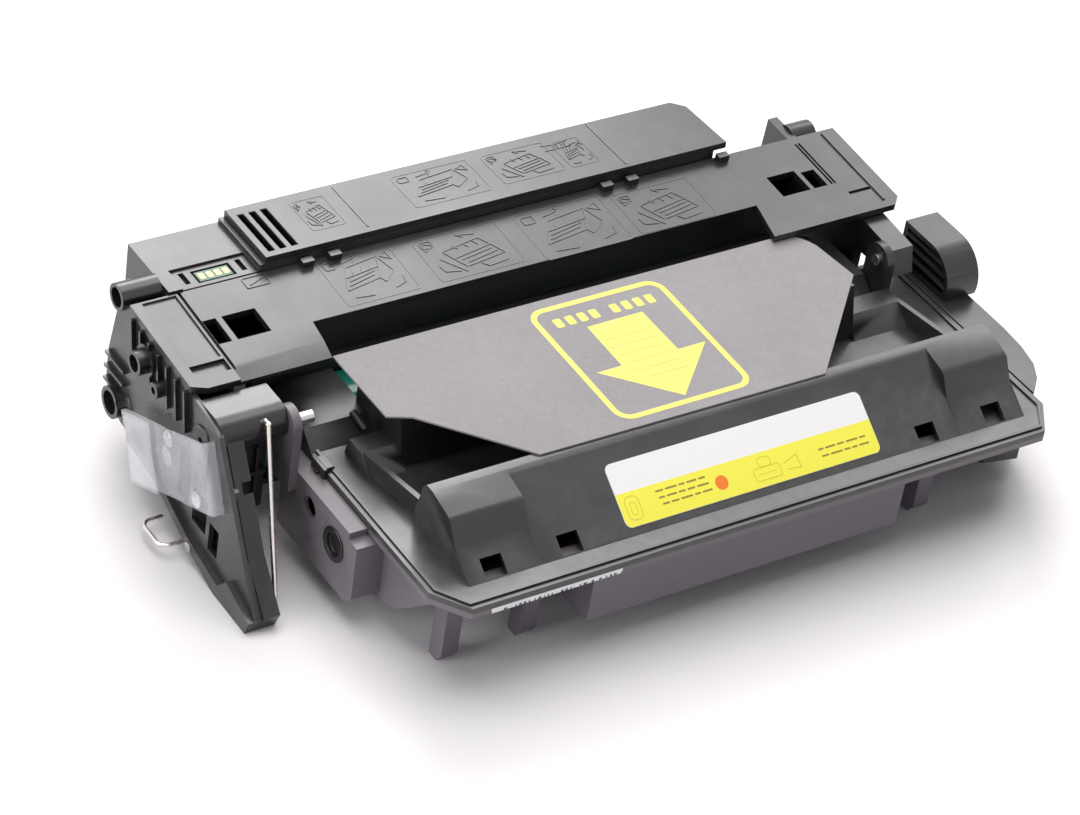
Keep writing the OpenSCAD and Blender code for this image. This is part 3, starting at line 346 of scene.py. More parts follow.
def makePlastic(name):
    base, rubbedAndHighlit, low, high, grainScale, depth, dust = plastics[name]
    material, tree, shader = newMaterial(name)
    grain = addGroup(tree, grainGroup, **{"Grain Scale": grainScale, "Patch Scale": 26.0})
    wearAndHighlight = addGroup(tree, wearAndHighlightGroup, Start=0.54, Amount=0.55)
    settled = addGroup(tree, dustGroup, Amount=dust)
    lighter = tuple(min(1.0, c * 1.35) for c in base) + (1.0,)
    mottled = addMix(tree, grain.outputs["Patches"], base + (1.0,), lighter)
    # The edges are lightened partly as wear and partly as a painted highlight
    wornAndHighlit = addMix(tree, wearAndHighlight.outputs["Mask"], mottled, rubbedAndHighlit + (1.0,))
    dusty = addMix(tree, settled.outputs["Mask"], wornAndHighlit, (0.42, 0.41, 0.40, 1.0))
    tree.links.new(dusty, shader.inputs["Base Color"])
    tree.links.new(addRange(tree, grain.outputs["Patches"], low, high), shader.inputs["Roughness"])
    tree.links.new(addBump(tree, grain.outputs["Height"], 0.6, depth * mm), shader.inputs["Normal"])
    shader.inputs["IOR"].default_value = 1.52
    shader.inputs["Specular IOR Level"].default_value = 0.6
    return material


def makeMetal(name, base, low, high, stretch):
    # Drawn or rolled metal with fine lines along its length
    material, tree, shader = newMaterial(name)
    where = tree.nodes.new("ShaderNodeTexCoord").outputs["Object"]
    mapping = tree.nodes.new("ShaderNodeMapping")
    mapping.inputs["Scale"].default_value = stretch
    tree.links.new(where, mapping.inputs["Vector"])
    lines = addNoise(tree, mapping.outputs["Vector"], 900.0, 2.0, 0.5)
    tint = addMix(tree, lines, base + (1.0,), tuple(c * 0.8 for c in base) + (1.0,))
    tree.links.new(tint, shader.inputs["Base Color"])
    tree.links.new(addRange(tree, lines, low, high), shader.inputs["Roughness"])
    tree.links.new(addBump(tree, lines, 0.3, 0.01 * mm), shader.inputs["Normal"])
    shader.inputs["Metallic"].default_value = 1.0
    return material


def makeRubber(name, base):
    material, tree, shader = newMaterial(name)
    grain = addGroup(tree, grainGroup, **{"Grain Scale": 2400.0, "Patch Scale": 50.0})
    lighter = tuple(min(1.0, c * 1.3) for c in base) + (1.0,)
    mottled = addMix(tree, grain.outputs["Patches"], base + (1.0,), lighter)
    tree.links.new(mottled, shader.inputs["Base Color"])
    tree.links.new(addRange(tree, grain.outputs["Patches"], 0.55, 0.75), shader.inputs["Roughness"])
    tree.links.new(addBump(tree, grain.outputs["Height"], 0.5, 0.02 * mm), shader.inputs["Normal"])
    return material


cardStock = {
    "base": (0.175, 0.165, 0.172, 1.0),
    "pale": (0.30, 0.29, 0.30, 1.0),
    "fleck": (0.52, 0.51, 0.52, 1.0),
    "fleckScale": 1100.0,
}


def makeCardStock():
    # Grey card: soft fibres, and a fine scatter of pale flecks
    material, tree, shader = newMaterial("greyCard")
    where = tree.nodes.new("ShaderNodeTexCoord").outputs["Object"]
    fibre = addNoise(tree, where, 700.0, 4.0, 0.7)
    cloud = addNoise(tree, where, 18.0, 3.0, 0.5)
    cells = tree.nodes.new("ShaderNodeTexVoronoi")
    cells.inputs["Scale"].default_value = cardStock["fleckScale"]
    tree.links.new(where, cells.inputs["Vector"])
    near = addMath(tree, "LESS_THAN", cells.outputs["Distance"], 0.26)
    some = addMath(tree, "GREATER_THAN", fibre, 0.55)
    flecks = addMath(tree, "MULTIPLY", near, some)
    speckle = addNoise(tree, where, 260.0, 4.0, 0.75)
    mottled = addMath(tree, "MULTIPLY", addMath(tree, "ADD", cloud, speckle), 0.5)
    soft = addMix(tree, mottled, cardStock["base"], cardStock["pale"])
    flecked = addMix(tree, addMath(tree, "MULTIPLY", flecks, 0.28), soft, cardStock["fleck"])
    tree.links.new(flecked, shader.inputs["Base Color"])
    tree.links.new(addRange(tree, fibre, 0.55, 0.8), shader.inputs["Roughness"])
    tree.links.new(addBump(tree, fibre, 0.5, 0.03 * mm), shader.inputs["Normal"])
    shader.inputs["Specular IOR Level"].default_value = 0.35
    return material


def makePaper(name, base, shade):
    material, tree, shader = newMaterial(name)
    where = tree.nodes.new("ShaderNodeTexCoord").outputs["Object"]
    fibre = addNoise(tree, where, 900.0, 3.0, 0.6)
    tree.links.new(addMix(tree, fibre, base + (1.0,), shade + (1.0,)), shader.inputs["Base Color"])
    tree.links.new(addRange(tree, fibre, 0.38, 0.5), shader.inputs["Roughness"])
    tree.links.new(addBump(tree, fibre, 0.3, 0.01 * mm), shader.inputs["Normal"])
    return material


barStrip = {
    "paper": (0.84, 0.84, 0.85, 1.0),
    "ink": (0.07, 0.07, 0.11, 1.0),
    "pitch": 620.0,
    "share": 0.53,
    "rowTop": -1.3,
}


def makeBarStrip():
    # White strip with a plain row of upright bars that say nothing
    material, tree, shader = newMaterial("barStrip")
    where = tree.nodes.new("ShaderNodeTexCoord").outputs["Object"]
    along = tree.nodes.new("ShaderNodeMapping")
    along.inputs["Scale"].default_value = (1.0, 0.0, 0.0)
    tree.links.new(where, along.inputs["Vector"])
    noise = addNoise(tree, along.outputs["Vector"], barStrip["pitch"], 0.0)
    bars = addMath(tree, "GREATER_THAN", noise, barStrip["share"])
    up = tree.nodes.new("ShaderNodeSeparateXYZ")
    tree.links.new(where, up.inputs[0])
    row = addMath(tree, "LESS_THAN", up.outputs["Z"], place(0, 0, barStrip["rowTop"]).z)
    ink = addMath(tree, "MULTIPLY", bars, row)
    tree.links.new(addMix(tree, ink, barStrip["paper"], barStrip["ink"]), shader.inputs["Base Color"])
    tree.links.new(addRange(tree, addNoise(tree, where, 900.0), 0.35, 0.5), shader.inputs["Roughness"])
    return material


def makeFilm(name, base, alpha, low, high):
    # Clear film, cloudy in patches
    material, tree, shader = newMaterial(name)
    where = tree.nodes.new("ShaderNodeTexCoord").outputs["Object"]
    cloud = addNoise(tree, where, 60.0, 3.0, 0.6)
    tree.links.new(addRange(tree, cloud, alpha - 0.12, alpha + 0.12), shader.inputs["Alpha"])
    tree.links.new(addRange(tree, cloud, low, high), shader.inputs["Roughness"])
    tree.links.new(addBump(tree, cloud, 0.4, 0.5 * mm), shader.inputs["Normal"])
    shader.inputs["Base Color"].default_value = base + (1.0,)
    return material


def makeDrumCoat():
    material, tree, shader = newMaterial("drumCoat")
    where = tree.nodes.new("ShaderNodeTexCoord").outputs["Object"]
    bands = addNoise(tree, where, 40.0, 2.0, 0.5)
    tint = addMix(tree, bands, (0.012, 0.16, 0.13, 1.0), (0.018, 0.21, 0.16, 1.0))
    tree.links.new(tint, shader.inputs["Base Color"])
    tree.links.new(addRange(tree, bands, 0.12, 0.2), shader.inputs["Roughness"])
    shader.inputs["Coat Weight"].default_value = 0.6
    shader.inputs["Coat Roughness"].default_value = 0.08
    return material


finishes = {name: makePlastic(name) for name in plastics}
finishes["brightSteel"] = makeMetal("brightSteel", (0.62, 0.62, 0.63), 0.18, 0.34, (0.04, 1.0, 1.0))
finishes["wireSteel"] = makeMetal("wireSteel", (0.86, 0.81, 0.76), 0.2, 0.34, (1.0, 1.0, 0.05))
finishes["coatedSleeve"] = makeMetal("coatedSleeve", (0.16, 0.16, 0.17), 0.45, 0.6, (0.04, 1.0, 1.0))
finishes["rollerRubber"] = makeRubber("rollerRubber", (0.018, 0.018, 0.019))
finishes["bladeRubber"] = makeRubber("bladeRubber", (0.45, 0.26, 0.08))
finishes["magnetCore"] = makeRubber("magnetCore", (0.03, 0.03, 0.032))
finishes["greyCard"] = makeCardStock()
finishes["yellowPrint"] = makePaper("yellowPrint", (0.68, 0.61, 0.095), (0.63, 0.56, 0.075))
finishes["labelYellow"] = makePaper("labelYellow", (0.88, 0.83, 0.085), (0.84, 0.79, 0.07))
finishes["labelWhite"] = makePaper("labelWhite", (0.84, 0.84, 0.83), (0.79, 0.79, 0.79))
finishes["darkPrint"] = makePaper("darkPrint", (0.30, 0.22, 0.04), (0.24, 0.17, 0.03))
finishes["paleInk"] = makePaper("paleInk", (0.42, 0.38, 0.08), (0.38, 0.34, 0.07))
finishes["faintPrint"] = makePaper("faintPrint", (0.62, 0.55, 0.05), (0.56, 0.5, 0.04))
finishes["shadowBlack"] = makeRubber("shadowBlack", (0.012, 0.012, 0.012))
finishes["goldPads"] = makeMetal("goldPads", (0.34, 0.30, 0.18), 0.4, 0.55, (1.0, 1.0, 1.0))
finishes["orangePrint"] = makePaper("orangePrint", (0.85, 0.22, 0.02), (0.8, 0.18, 0.02))
finishes["barStrip"] = makeBarStrip()
finishes["sealFoil"] = makePaper("sealFoil", (0.7, 0.72, 0.75), (0.6, 0.62, 0.66))
finishes["clearFilm"] = makeFilm("clearFilm", (0.80, 0.81, 0.84), 0.22, 0.10, 0.25)
finishes["stiffFilm"] = makeFilm("stiffFilm", (0.72, 0.76, 0.80), 0.7, 0.15, 0.3)
finishes["drumCoat"] = makeDrumCoat()
finishes["chipBoard"] = makePaper("chipBoard", (0.06, 0.16, 0.11), (0.04, 0.13, 0.09))

print("stage: carried-over parts")

nodeFinishes = {
    "hopperBlack": ["hopper_lid", "gear_cover", "end_handle"],
    "coverBlack": ["waste_cover", "rear_cover", "waste_bin", "chip_holder"],
    # fill_cap takes the frame's black as painted shade, so that the recessed plug reads as a dark hole
    "frameBlack": ["left_frame", "right_frame", "drum_shutter", "fill_cap"],
    "trayGrey": ["hopper_tray", "side_box", "agitator_shaft"],
    "naturalAcetal": [
        "sleeve_gear", "idler_gear", "agitator_gear", "sleeve_bushings", "charger_bearings",
    ],
    "blackAcetal": ["drum_gear", "drum_hub"],
    "brightSteel": [
        "doctor_bracket", "doctor_screws", "idler_stud", "frame_screws", "drum_axle", "charge_shaft",
        "charger_springs", "wiper_bracket", "wiper_screws", "pivot_pins", "shutter_pins",
        "shutter_spring",
    ],
    "wireSteel": ["shutter_wire", "contact_loop"],
    "coatedSleeve": ["developer_sleeve"],
    "rollerRubber": ["charge_roller"],
    "bladeRubber": ["doctor_lip", "wiper_lip"],
    "magnetCore": ["magnet_core"],
    "greyCard": ["protective_card"],
    "labelWhite": ["front_label"],
    "barStrip": ["bar_code_strip"],
    "sealFoil": ["outlet_seal"],
    "stiffFilm": ["agitator_vane"],
    "clearFilm": ["pull_film"],
    "drumCoat": ["drum_tube"],
    "chipBoard": ["memory_chip"],
}

# Rounding of the edges, in millimetres
edgeRounds = {
    "hopper_lid": 0.45,
    "hopper_tray": 0.4,
    "waste_cover": 0.35,
    "rear_cover": 0.4,
    "waste_bin": 0.35,
    "left_frame": 0.35,
    "right_frame": 0.35,
    "gear_cover": 0.5,
    "end_handle": 0.6,
    "side_box": 0.5,
    "chip_holder": 0.2,
    "drum_shutter": 0.25,
    "fill_cap": 0.25,
    "frame_screws": 0.3,
    "drum_hub": 0.3,
}


def softenEdges(piece, width):
    # The CAD mesh is loose triangles, so it is joined and its flat faces are made whole first
    for polygon in piece.data.polygons:
        polygon.use_smooth = True
    weld = piece.modifiers.new("join", "WELD")
    weld.merge_threshold = 0.004 * mm
    flat = piece.modifiers.new("wholeFaces", "DECIMATE")
    flat.decimate_type = "DISSOLVE"
    flat.angle_limit = radians(1.0)
    bevel = piece.modifiers.new("roundEdges", "BEVEL")
    bevel.width = width * mm
    bevel.segments = 2
    bevel.limit_method = "ANGLE"
    bevel.angle_limit = radians(32.0)
    bevel.use_clamp_overlap = True
    even = piece.modifiers.new("evenNormals", "WEIGHTED_NORMAL")
    even.keep_sharp = True
    even.weight = 60


for finish, names in nodeFinishes.items():
    for name in names:
        piece = nodes[name]
        piece.data.materials.clear()
        piece.data.materials.append(finishes[finish])
        softenEdges(piece, edgeRounds.get(name, 0.1))

print("stage: tools for new pieces")


# Local frames in millimetres: u and v lie on the surface and w stands out of it
def surface(x, y, z, tilt=0.0):
    turn = Matrix.Rotation(radians(tilt), 4, "X")
    return Matrix.Translation(place(x, y, z)) @ turn @ Matrix.Scale(mm, 4)


def leftFace(x):
    # u runs towards the front, v up and w to the left
    turn = Matrix(((0, 0, -1, 0), (-1, 0, 0, 0), (0, 1, 0, 0), (0, 0, 0, 1)))
    return Matrix.Translation(place(x, 0, 0)) @ turn @ Matrix.Scale(mm, 4)


cardFace = surface(0, 42, 23.5, 1.631)
labelFace = surface(0, 10, 2, 35.257)
coverFace = surface(0, 118, 27, 4.5)
rearFace = surface(0, 0, 40)


def raiseShape(shape, height):
    made = bmesh.ops.extrude_face_region(shape, geom=shape.faces[:])
    raised = [item for item in made["geom"] if isinstance(item, bmesh.types.BMVert)]
    bmesh.ops.translate(shape, vec=(0, 0, height), verts=raised)
    bmesh.ops.recalc_face_normals(shape, faces=shape.faces[:])
    return shape


def plate(u0, u1, v0, v1, low, high, radius=0.0, ring=0.0):
    # A thin plate, with round corners if radius is given, or only its rim if ring is given
    shape = bmesh.new()
    bmesh.ops.create_grid(shape, x_segments=1, y_segments=1, size=0.5)
    bmesh.ops.scale(shape, vec=(u1 - u0, v1 - v0, 1), verts=shape.verts)
    middle = ((u0 + u1) / 2, (v0 + v1) / 2, low)
    bmesh.ops.translate(shape, vec=middle, verts=shape.verts)
    if radius:
        bmesh.ops.bevel(
            shape, geom=shape.verts[:], offset=radius, affect="VERTICES",
            segments=6, profile=0.5, material=-1,
        )
    if ring:
        inside = shape.faces[:]
        bmesh.ops.inset_region(
            shape, faces=inside, thickness=ring, use_boundary=True, use_even_offset=True
        )
        bmesh.ops.delete(shape, geom=inside, context="FACES")
    return raiseShape(shape, high - low)


def stroke(u0, v0, u1, v1, width, low, high):
    shape = plate(0, hypot(u1 - u0, v1 - v0), -width / 2, width / 2, low, high)
    turn = Matrix.Translation((u0, v0, 0)) @ Matrix.Rotation(atan2(v1 - v0, u1 - u0), 4, "Z")
    bmesh.ops.transform(shape, matrix=turn, verts=shape.verts)
    return shape


def outline(points, low, high):
    shape = bmesh.new()
    shape.faces.new([shape.verts.new((u, v, low)) for u, v in points])
    return raiseShape(shape, high - low)


def disc(u, v, radius, low, high, sides=24):
    shape = bmesh.new()
    bmesh.ops.create_circle(shape, cap_ends=True, segments=sides, radius=radius)
    bmesh.ops.translate(shape, vec=(u, v, low), verts=shape.verts)
    return raiseShape(shape, high - low)


def block(u0, u1, v0, v1, w0, w1, edge=0.3):
    # A box with rounded edges
    shape = bmesh.new()
    bmesh.ops.create_cube(shape, size=1.0)
    bmesh.ops.scale(shape, vec=(u1 - u0, v1 - v0, w1 - w0), verts=shape.verts)
    middle = ((u0 + u1) / 2, (v0 + v1) / 2, (w0 + w1) / 2)
    bmesh.ops.translate(shape, vec=middle, verts=shape.verts)
    bmesh.ops.bevel(
        shape, geom=shape.edges[:], offset=edge, affect="EDGES",
        segments=2, profile=0.5, material=-1,
    )
    return shape


def joinShapes(shapes, frameOf):
    joined = bmesh.new()
    for shape in shapes:
        bmesh.ops.transform(shape, matrix=frameOf, verts=shape.verts)
        mesh = bpy.data.meshes.new("shape")
        shape.to_mesh(mesh)
        shape.free()
        joined.from_mesh(mesh)
        bpy.data.meshes.remove(mesh)
    return joined


def addPiece(name, bm, finish, body, stands=()):
    mesh = bpy.data.meshes.new(name)
    bm.to_mesh(mesh)
    bm.free()
    mesh.materials.append(finishes[finish])
    piece = bpy.data.objects.new(name, mesh)
    scene.collection.objects.link(piece)
    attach(piece, body)
    if stands:
        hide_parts(*stands)
    return piece


print("stage: card print")

cardPrint = {
    "top": 0.8,          # height of the card's top in its own frame
    "ink": 0.05,
    "frame": (100.0, 161.0, 5.0, 74.3),
    "corner": 7.0,
    "line": 2.4,
    "arrow": [
        (118.6, 58.2), (118.4, 33.4), (107.1, 33.2), (131.4, 9.4),
        (157.0, 33.8), (144.3, 33.7), (143.9, 58.4),
    ],
    # thin lines across the arrow: left end, right end, first place, step, width, number
    "lines": (120.6, 142.2, 48.6, 5.0, 0.4, 6),
    "marks": [107.8, 113.2, 118.6, 124.0, 133.4, 138.8, 144.2, 149.6],
    "markWidth": 3.4,
    "markCorner": 0.8,
    "marksFrom": 61.6,
    "marksTo": 66.8,
}


def addCardPrint():
    low = cardPrint["top"] - 0.02
    high = cardPrint["top"] + cardPrint["ink"]
    u0, u1, v0, v1 = cardPrint["frame"]
    shapes = [
        plate(u0, u1, v0, v1, low, high, cardPrint["corner"], cardPrint["line"]),
        outline(cardPrint["arrow"], low, high),
    ]
    for u in cardPrint["marks"]:
        shapes.append(plate(
            u, u + cardPrint["markWidth"], cardPrint["marksFrom"], cardPrint["marksTo"],
            low, high, cardPrint["markCorner"],
        ))
    addPiece("card_print", joinShapes(shapes, cardFace), "yellowPrint", "hopper_unit")
    left, right, first, step, width, count = cardPrint["lines"]
    lines = [
        plate(left, right, first - step * k, first + width - step * k, high - 0.01, high + 0.02)
        for k in range(count)
    ]
    addPiece("arrow_lines", joinShapes(lines, cardFace), "paleInk", "hopper_unit")


addCardPrint()

print("stage: front label")

labelPrint = {
    "sheet": (84.0, 200.0, 4.0, 29.0),
    "thickness": 0.3,
    "corner": 2.6,
    "rimGap": 0.1,
    "boundary": 17.2,
    "ink": 0.04,
    "rowHalf": 0.35,     # half the height of a row of dashes
    "rowShift": 0.6,
    "dashGap": 0.9,
    # start, rows, lengths of the dashes
    "leftText": (100.5, [14.3, 11.7, 9.1], [3.4, 5.2, 2.6, 4.4, 3.0]),
    "rightText": (173.5, [11.6, 8.8], [2.4, 4.6, 3.2, 5.4, 2.8]),
    "spot": (128.6, 10.4, 2.8),
    # faint generic outlines: rings as u0, u1, v0, v1, corner, line, and strokes as ends and width
    "rings": [
        (86.4, 92.6, 6.2, 15.6, 2.4, 0.3),
        (88.2, 90.8, 8.0, 13.2, 1.2, 0.25),
        (143.0, 155.0, 6.4, 11.6, 1.0, 0.3),
        (146.0, 152.0, 11.4, 15.4, 1.8, 0.3),
    ],
    "strokes": [
        (157.0, 10.6, 163.4, 12.6, 0.35),
        (157.6, 8.0, 163.8, 7.4, 0.35),
        (163.4, 12.6, 163.8, 7.4, 0.35),
        (144.6, 9.0, 153.4, 9.0, 0.25),
    ],
}


def addLabel():
    u0, u1, v0, v1 = labelPrint["sheet"]
    top = labelPrint["thickness"]
    sheet = plate(u0, u1, v0, v1, 0.0, top, labelPrint["corner"])
    addPiece(
        "label_sheet", joinShapes([sheet], labelFace), "labelWhite", "hopper_unit",
        ["front_label"],
    )
    rimGap = labelPrint["rimGap"]
    field = plate(
        u0 + rimGap, u1 - rimGap, v0 + rimGap, v1 - rimGap, top - 0.02, top + 0.03,
        labelPrint["corner"],
    )
    cut = bmesh.ops.bisect_plane(
        field, geom=field.verts[:] + field.edges[:] + field.faces[:],
        plane_co=(0, labelPrint["boundary"], 0), plane_no=(0, 1, 0), clear_outer=True,
    )
    rim = [item for item in cut["geom_cut"] if isinstance(item, bmesh.types.BMEdge)]
    bmesh.ops.contextual_create(field, geom=rim)
    bmesh.ops.recalc_face_normals(field, faces=field.faces[:])
    addPiece("label_field", joinShapes([field], labelFace), "labelYellow", "hopper_unit")
    low = top + 0.02
    high = low + labelPrint["ink"]
    shapes = []
    for start, rows, words in (labelPrint["leftText"], labelPrint["rightText"]):
        for index, v in enumerate(rows):
            u = start + labelPrint["rowShift"] * index
            half = labelPrint["rowHalf"]
            for step in range(len(words)):
                length = words[(step + 2 * index) % len(words)]
                shapes.append(plate(u, u + length, v - half, v + half, low, high, 0.2))
                u += length + labelPrint["dashGap"]
    addPiece("label_marks", joinShapes(shapes, labelFace), "darkPrint", "hopper_unit")
    u, v, radius = labelPrint["spot"]
    spot = joinShapes([disc(u, v, radius, low, high)], labelFace)
    addPiece("label_spot", spot, "orangePrint", "hopper_unit")
    faint = [
        plate(a, b, c, d, low, high, corner, line)
        for a, b, c, d, corner, line in labelPrint["rings"]
    ]
    faint += [
        stroke(a, b, c, d, width, low, high)
        for a, b, c, d, width in labelPrint["strokes"]
    ]
    addPiece("label_outlines", joinShapes(faint, labelFace), "faintPrint", "hopper_unit")


addLabel()

print("stage: raised drawings on the covers")

raisedDrawings = {
    "height": 0.25,
    "rim": 0.5,
    "line": 0.4,
    # u0, u1, v0, v1 on the pitched cover, whose top lies 3 mm above its frame
    "frontTop": 3.0,
    "front": [
        (36.0, 68.0, 21.5, 49.2), (77.0, 115.0, 21.5, 47.0),
        (123.0, 163.0, 18.5, 46.8), (167.5, 204.0, 19.5, 44.5),
    ],
    "frontTurns": (1, -1, 1, -1),    # -1 mirrors a field
    # and on the rear cover
    "rear": [
        (41.0, 56.0, 177.0, 197.0), (86.0, 121.0, 175.5, 197.5),
        (127.0, 156.0, 176.5, 197.0), (158.5, 172.0, 176.5, 195.0),
    ],
    "rearTurns": (-1, 1, -1, 1),
    "small": (4.8, 15.0, 44.0, 50.0),
}


def drawing(box, base, turn):
    # A framed field with a few generic outlines: a long body, its lid, an arrow and shading lines
    u0, u1, v0, v1 = box
    low = base - 0.05
    high = base + raisedDrawings["height"]
    line = raisedDrawings["line"]
    wide = u1 - u0
    deep = v1 - v0

    def at(a, b):
        return u0 + wide * a, v0 + deep * b

    shapes = [plate(u0, u1, v0, v1, low, base + 0.12, 1.6, raisedDrawings["rim"])]
    slope = 0.10 * turn
    paths = [
        [(0.14, 0.30), (0.62, 0.30 + slope), (0.70, 0.52 + slope), (0.22, 0.54), (0.14, 0.30)],
        [(0.22, 0.54), (0.30, 0.74), (0.76, 0.72 + slope), (0.70, 0.52 + slope)],
        [(0.62, 0.30 + slope), (0.66, 0.20 + slope), (0.84, 0.48), (0.76, 0.72 + slope)],
        [(0.20, 0.38), (0.58, 0.38 + slope)],
        [(0.24, 0.46), (0.62, 0.46 + slope)],
        [(0.34, 0.60), (0.38, 0.70)],
        [(0.46, 0.59), (0.50, 0.71)],
        [(0.58, 0.60), (0.62, 0.70)],
        [(0.30, 0.84), (0.50, 0.90), (0.46, 0.96)],
        [(0.50, 0.90), (0.44, 0.82)],
        [(0.16, 0.14), (0.40, 0.10), (0.46, 0.20)],
        [(0.72, 0.14), (0.88, 0.20), (0.90, 0.34)],
        [(0.80, 0.80), (0.92, 0.70), (0.90, 0.88), (0.80, 0.80)],
    ]
    for path in paths:
        if turn < 0:
            path = [(1.0 - a, b) for a, b in path]
        for first, second in zip(path, path[1:]):
            shapes.append(stroke(*at(*first), *at(*second), line, low, high))
    # A small empty square in the corner
    (left, front), (right, rear) = at(0.06, 0.76), at(0.20, 0.92)
    shapes.append(plate(left, right, front, rear, low, high, 1.0, line))
    return shapes


def addDrawings():
    shapes = []
    for index, box in enumerate(raisedDrawings["front"]):
        shapes += drawing(box, raisedDrawings["frontTop"], raisedDrawings["frontTurns"][index])
    u0, u1, v0, v1 = raisedDrawings["small"]
    shapes.append(plate(u0, u1, v0, v1, 2.95, 3.3, 0.8, 0.4))
    shapes.append(stroke(u0 + 2, v0 + 1.6, u1 - 2, v1 - 2, 0.4, 2.95, 3.3))
    raised = joinShapes(shapes, coverFace)
    addPiece("cover_drawings", raised, "coverBlack", "drum_unit")
    shapes = []
    for index, box in enumerate(raisedDrawings["rear"]):
        shapes += drawing(box, 0.0, raisedDrawings["rearTurns"][index])
    raised = joinShapes(shapes, rearFace)
    addPiece("rear_drawings", raised, "coverBlack", "drum_unit")


addDrawings()

print("stage: small fittings")

sideSeam = {
    "points": [
        (-94.7, -27.6), (-91.6, -28.4), (-88.4, -28.2), (-84.6, -25.6), (-81.2, -21.6),
        (-77.6, -16.6), (-74.2, -11.3), (-71.6, -5.6), (-70.6, -3.2),
    ],
    "width": 0.5,
    "height": 0.25,
}


def addSideSeam():
    shapes = []
    points = sideSeam["points"]
    for (u0, v0), (u1, v1) in zip(points, points[1:]):
        shapes.append(stroke(u0, v0, u1, v1, sideSeam["width"], -0.05, sideSeam["height"]))
    seam = joinShapes(shapes, leftFace(-8.0))
    addPiece("side_box_seam", seam, "trayGrey", "hopper_unit")


rimClip = {
    "front": 86.5,
    "rear": 96.0,
    "low": -8.5,
    "top": 4.2,
}


def addRimClip():
    # A small hook clip over the rim of the two flanges
    front, rear = -rimClip["front"], -rimClip["rear"]
    shapes = [
        block(rear, front, rimClip["low"], rimClip["top"], 0.05, 1.7, 0.35),
        block(rear + 1.2, front - 1.2, rimClip["low"] - 1.4, rimClip["low"] + 2.4, 0.1, 2.4, 0.3),
        block(rear + 0.8, front - 0.8, rimClip["top"] - 1.6, rimClip["top"], -3.4, 0.4, 0.3),
        block(rear + 3.6, front - 3.6, -4.6, 1.4, 1.4, 2.5, 0.25),
    ]
    clip = joinShapes(shapes, leftFace(0.0))
    addPiece("rim_clip", clip, "hopperBlack", "hopper_unit")


def screwHead(u, v, radius, low, high):
    # A pan head with a stepped rim, and the two arms of its cross, black as painted shade in the
    # recess
    shape = disc(u, v, radius, low, high, 28)
    cap = max(shape.faces, key=lambda face: face.calc_center_median().z)
    bmesh.ops.inset_region(shape, faces=[cap], thickness=radius * 0.2, depth=(high - low) * 0.12)
    long, thin = radius * railScrew["armLength"], radius * railScrew["armWidth"]
    arms = [
        plate(u - a, u + a, v - b, v + b, high - 0.01, high + 0.12)
        for a, b in ((long, thin), (thin, long))
    ]
    return [shape], arms


railScrew = {
    "y": 107.4,
    "z": -34.4,
    "radius": 2.1,
    "stands": 1.1,
    "armLength": 0.55,    # share of the radius
    "armWidth": 0.12,
}


def addRailScrew():
    head, cross = screwHead(
        -railScrew["y"], railScrew["z"], railScrew["radius"], -0.05, railScrew["stands"]
    )
    rail = leftFace(-43.0)
    addPiece("rail_screw", joinShapes(head, rail), "brightSteel", "drum_unit")
    addPiece("rail_screw_cross", joinShapes(cross, rail), "shadowBlack", "drum_unit")


chipPads = {
    "lefts": [-8.8, -5.4, -2.0, 1.4],
    "width": 2.4,
    "low": 173.0,
    "high": 176.8,
    "height": 33.8,
}


def addChipPads():
    shapes = [
        plate(u, u + chipPads["width"], chipPads["low"], chipPads["high"], -0.02, 0.07, 0.5)
        for u in chipPads["lefts"]
    ]
    pads = joinShapes(shapes, surface(0, 0, chipPads["height"]))
    addPiece("chip_pads", pads, "goldPads", "drum_unit")


restPost = {
    "foot": (23.2, 99.4, 6.2),
    "head": (20.8, 106.6, 10.6),
    "radius": 1.5,
}


def addRestPost():
    # A small peg that lies against the ramp beside the deck
    foot = Vector(restPost["foot"])
    run = Vector(restPost["head"]) - foot
    shape = bmesh.new()
    bmesh.ops.create_cone(
        shape, cap_ends=True, segments=20, radius1=restPost["radius"],
        radius2=restPost["radius"], depth=run.length,
    )
    caps = [edge for edge in shape.edges if abs(edge.verts[0].co.z - edge.verts[1].co.z) < 0.001]
    bmesh.ops.bevel(
        shape, geom=caps, offset=0.45, affect="EDGES", segments=2, profile=0.5, material=-1
    )
    turn = Matrix.Translation(foot + run / 2) @ run.to_track_quat("Z", "Y").to_matrix().to_4x4()
    bmesh.ops.transform(shape, matrix=turn, verts=shape.verts)
    post = joinShapes([shape], surface(0, 0, 0))
    addPiece("rest_post", post, "hopperBlack", "hopper_unit")


rearSeams = [
    # x, width, from y, to y
    (180.0, 0.8, 171.0, 201.0),
    (62.0, 0.6, 172.0, 200.0),
]


def addRearSeam():
    shapes = [plate(x, x + width, low, high, -0.05, 0.25) for x, width, low, high in rearSeams]
    addPiece("rear_seam", joinShapes(shapes, rearFace), "coverBlack", "drum_unit")


endScreen = {
    "wall": (-34.0, -13.2, 108.6, 110.8, -25.0, 6.5),
    "ribs": [-29.5, -24.0, -18.5],
}


def addEndScreen():
    # The ribbed wall that stands before the drum's left end, between the frame and the hinge
    x0, x1, y0, y1, z0, z1 = endScreen["wall"]
    shapes = [block(x0, x1, y0, y1, z0, z1, 0.4)]
    for x in endScreen["ribs"]:
        shapes.append(block(x, x + 1.2, y0 - 2.2, y0 + 0.6, z0 + 1.5, z1 - 1.5, 0.25))
    shapes.append(block(x0 + 1.0, x1 - 1.0, y0 - 2.8, y0 + 0.6, -7.0, -5.4, 0.25))
    screen = joinShapes(shapes, surface(0, 0, 0))
    addPiece("end_screen", screen, "frameBlack", "drum_unit")


addEndScreen()
addSideSeam()
addRimClip()
addRailScrew()
addChipPads()
addRestPost()
addRearSeam()

print("stage: clear film")

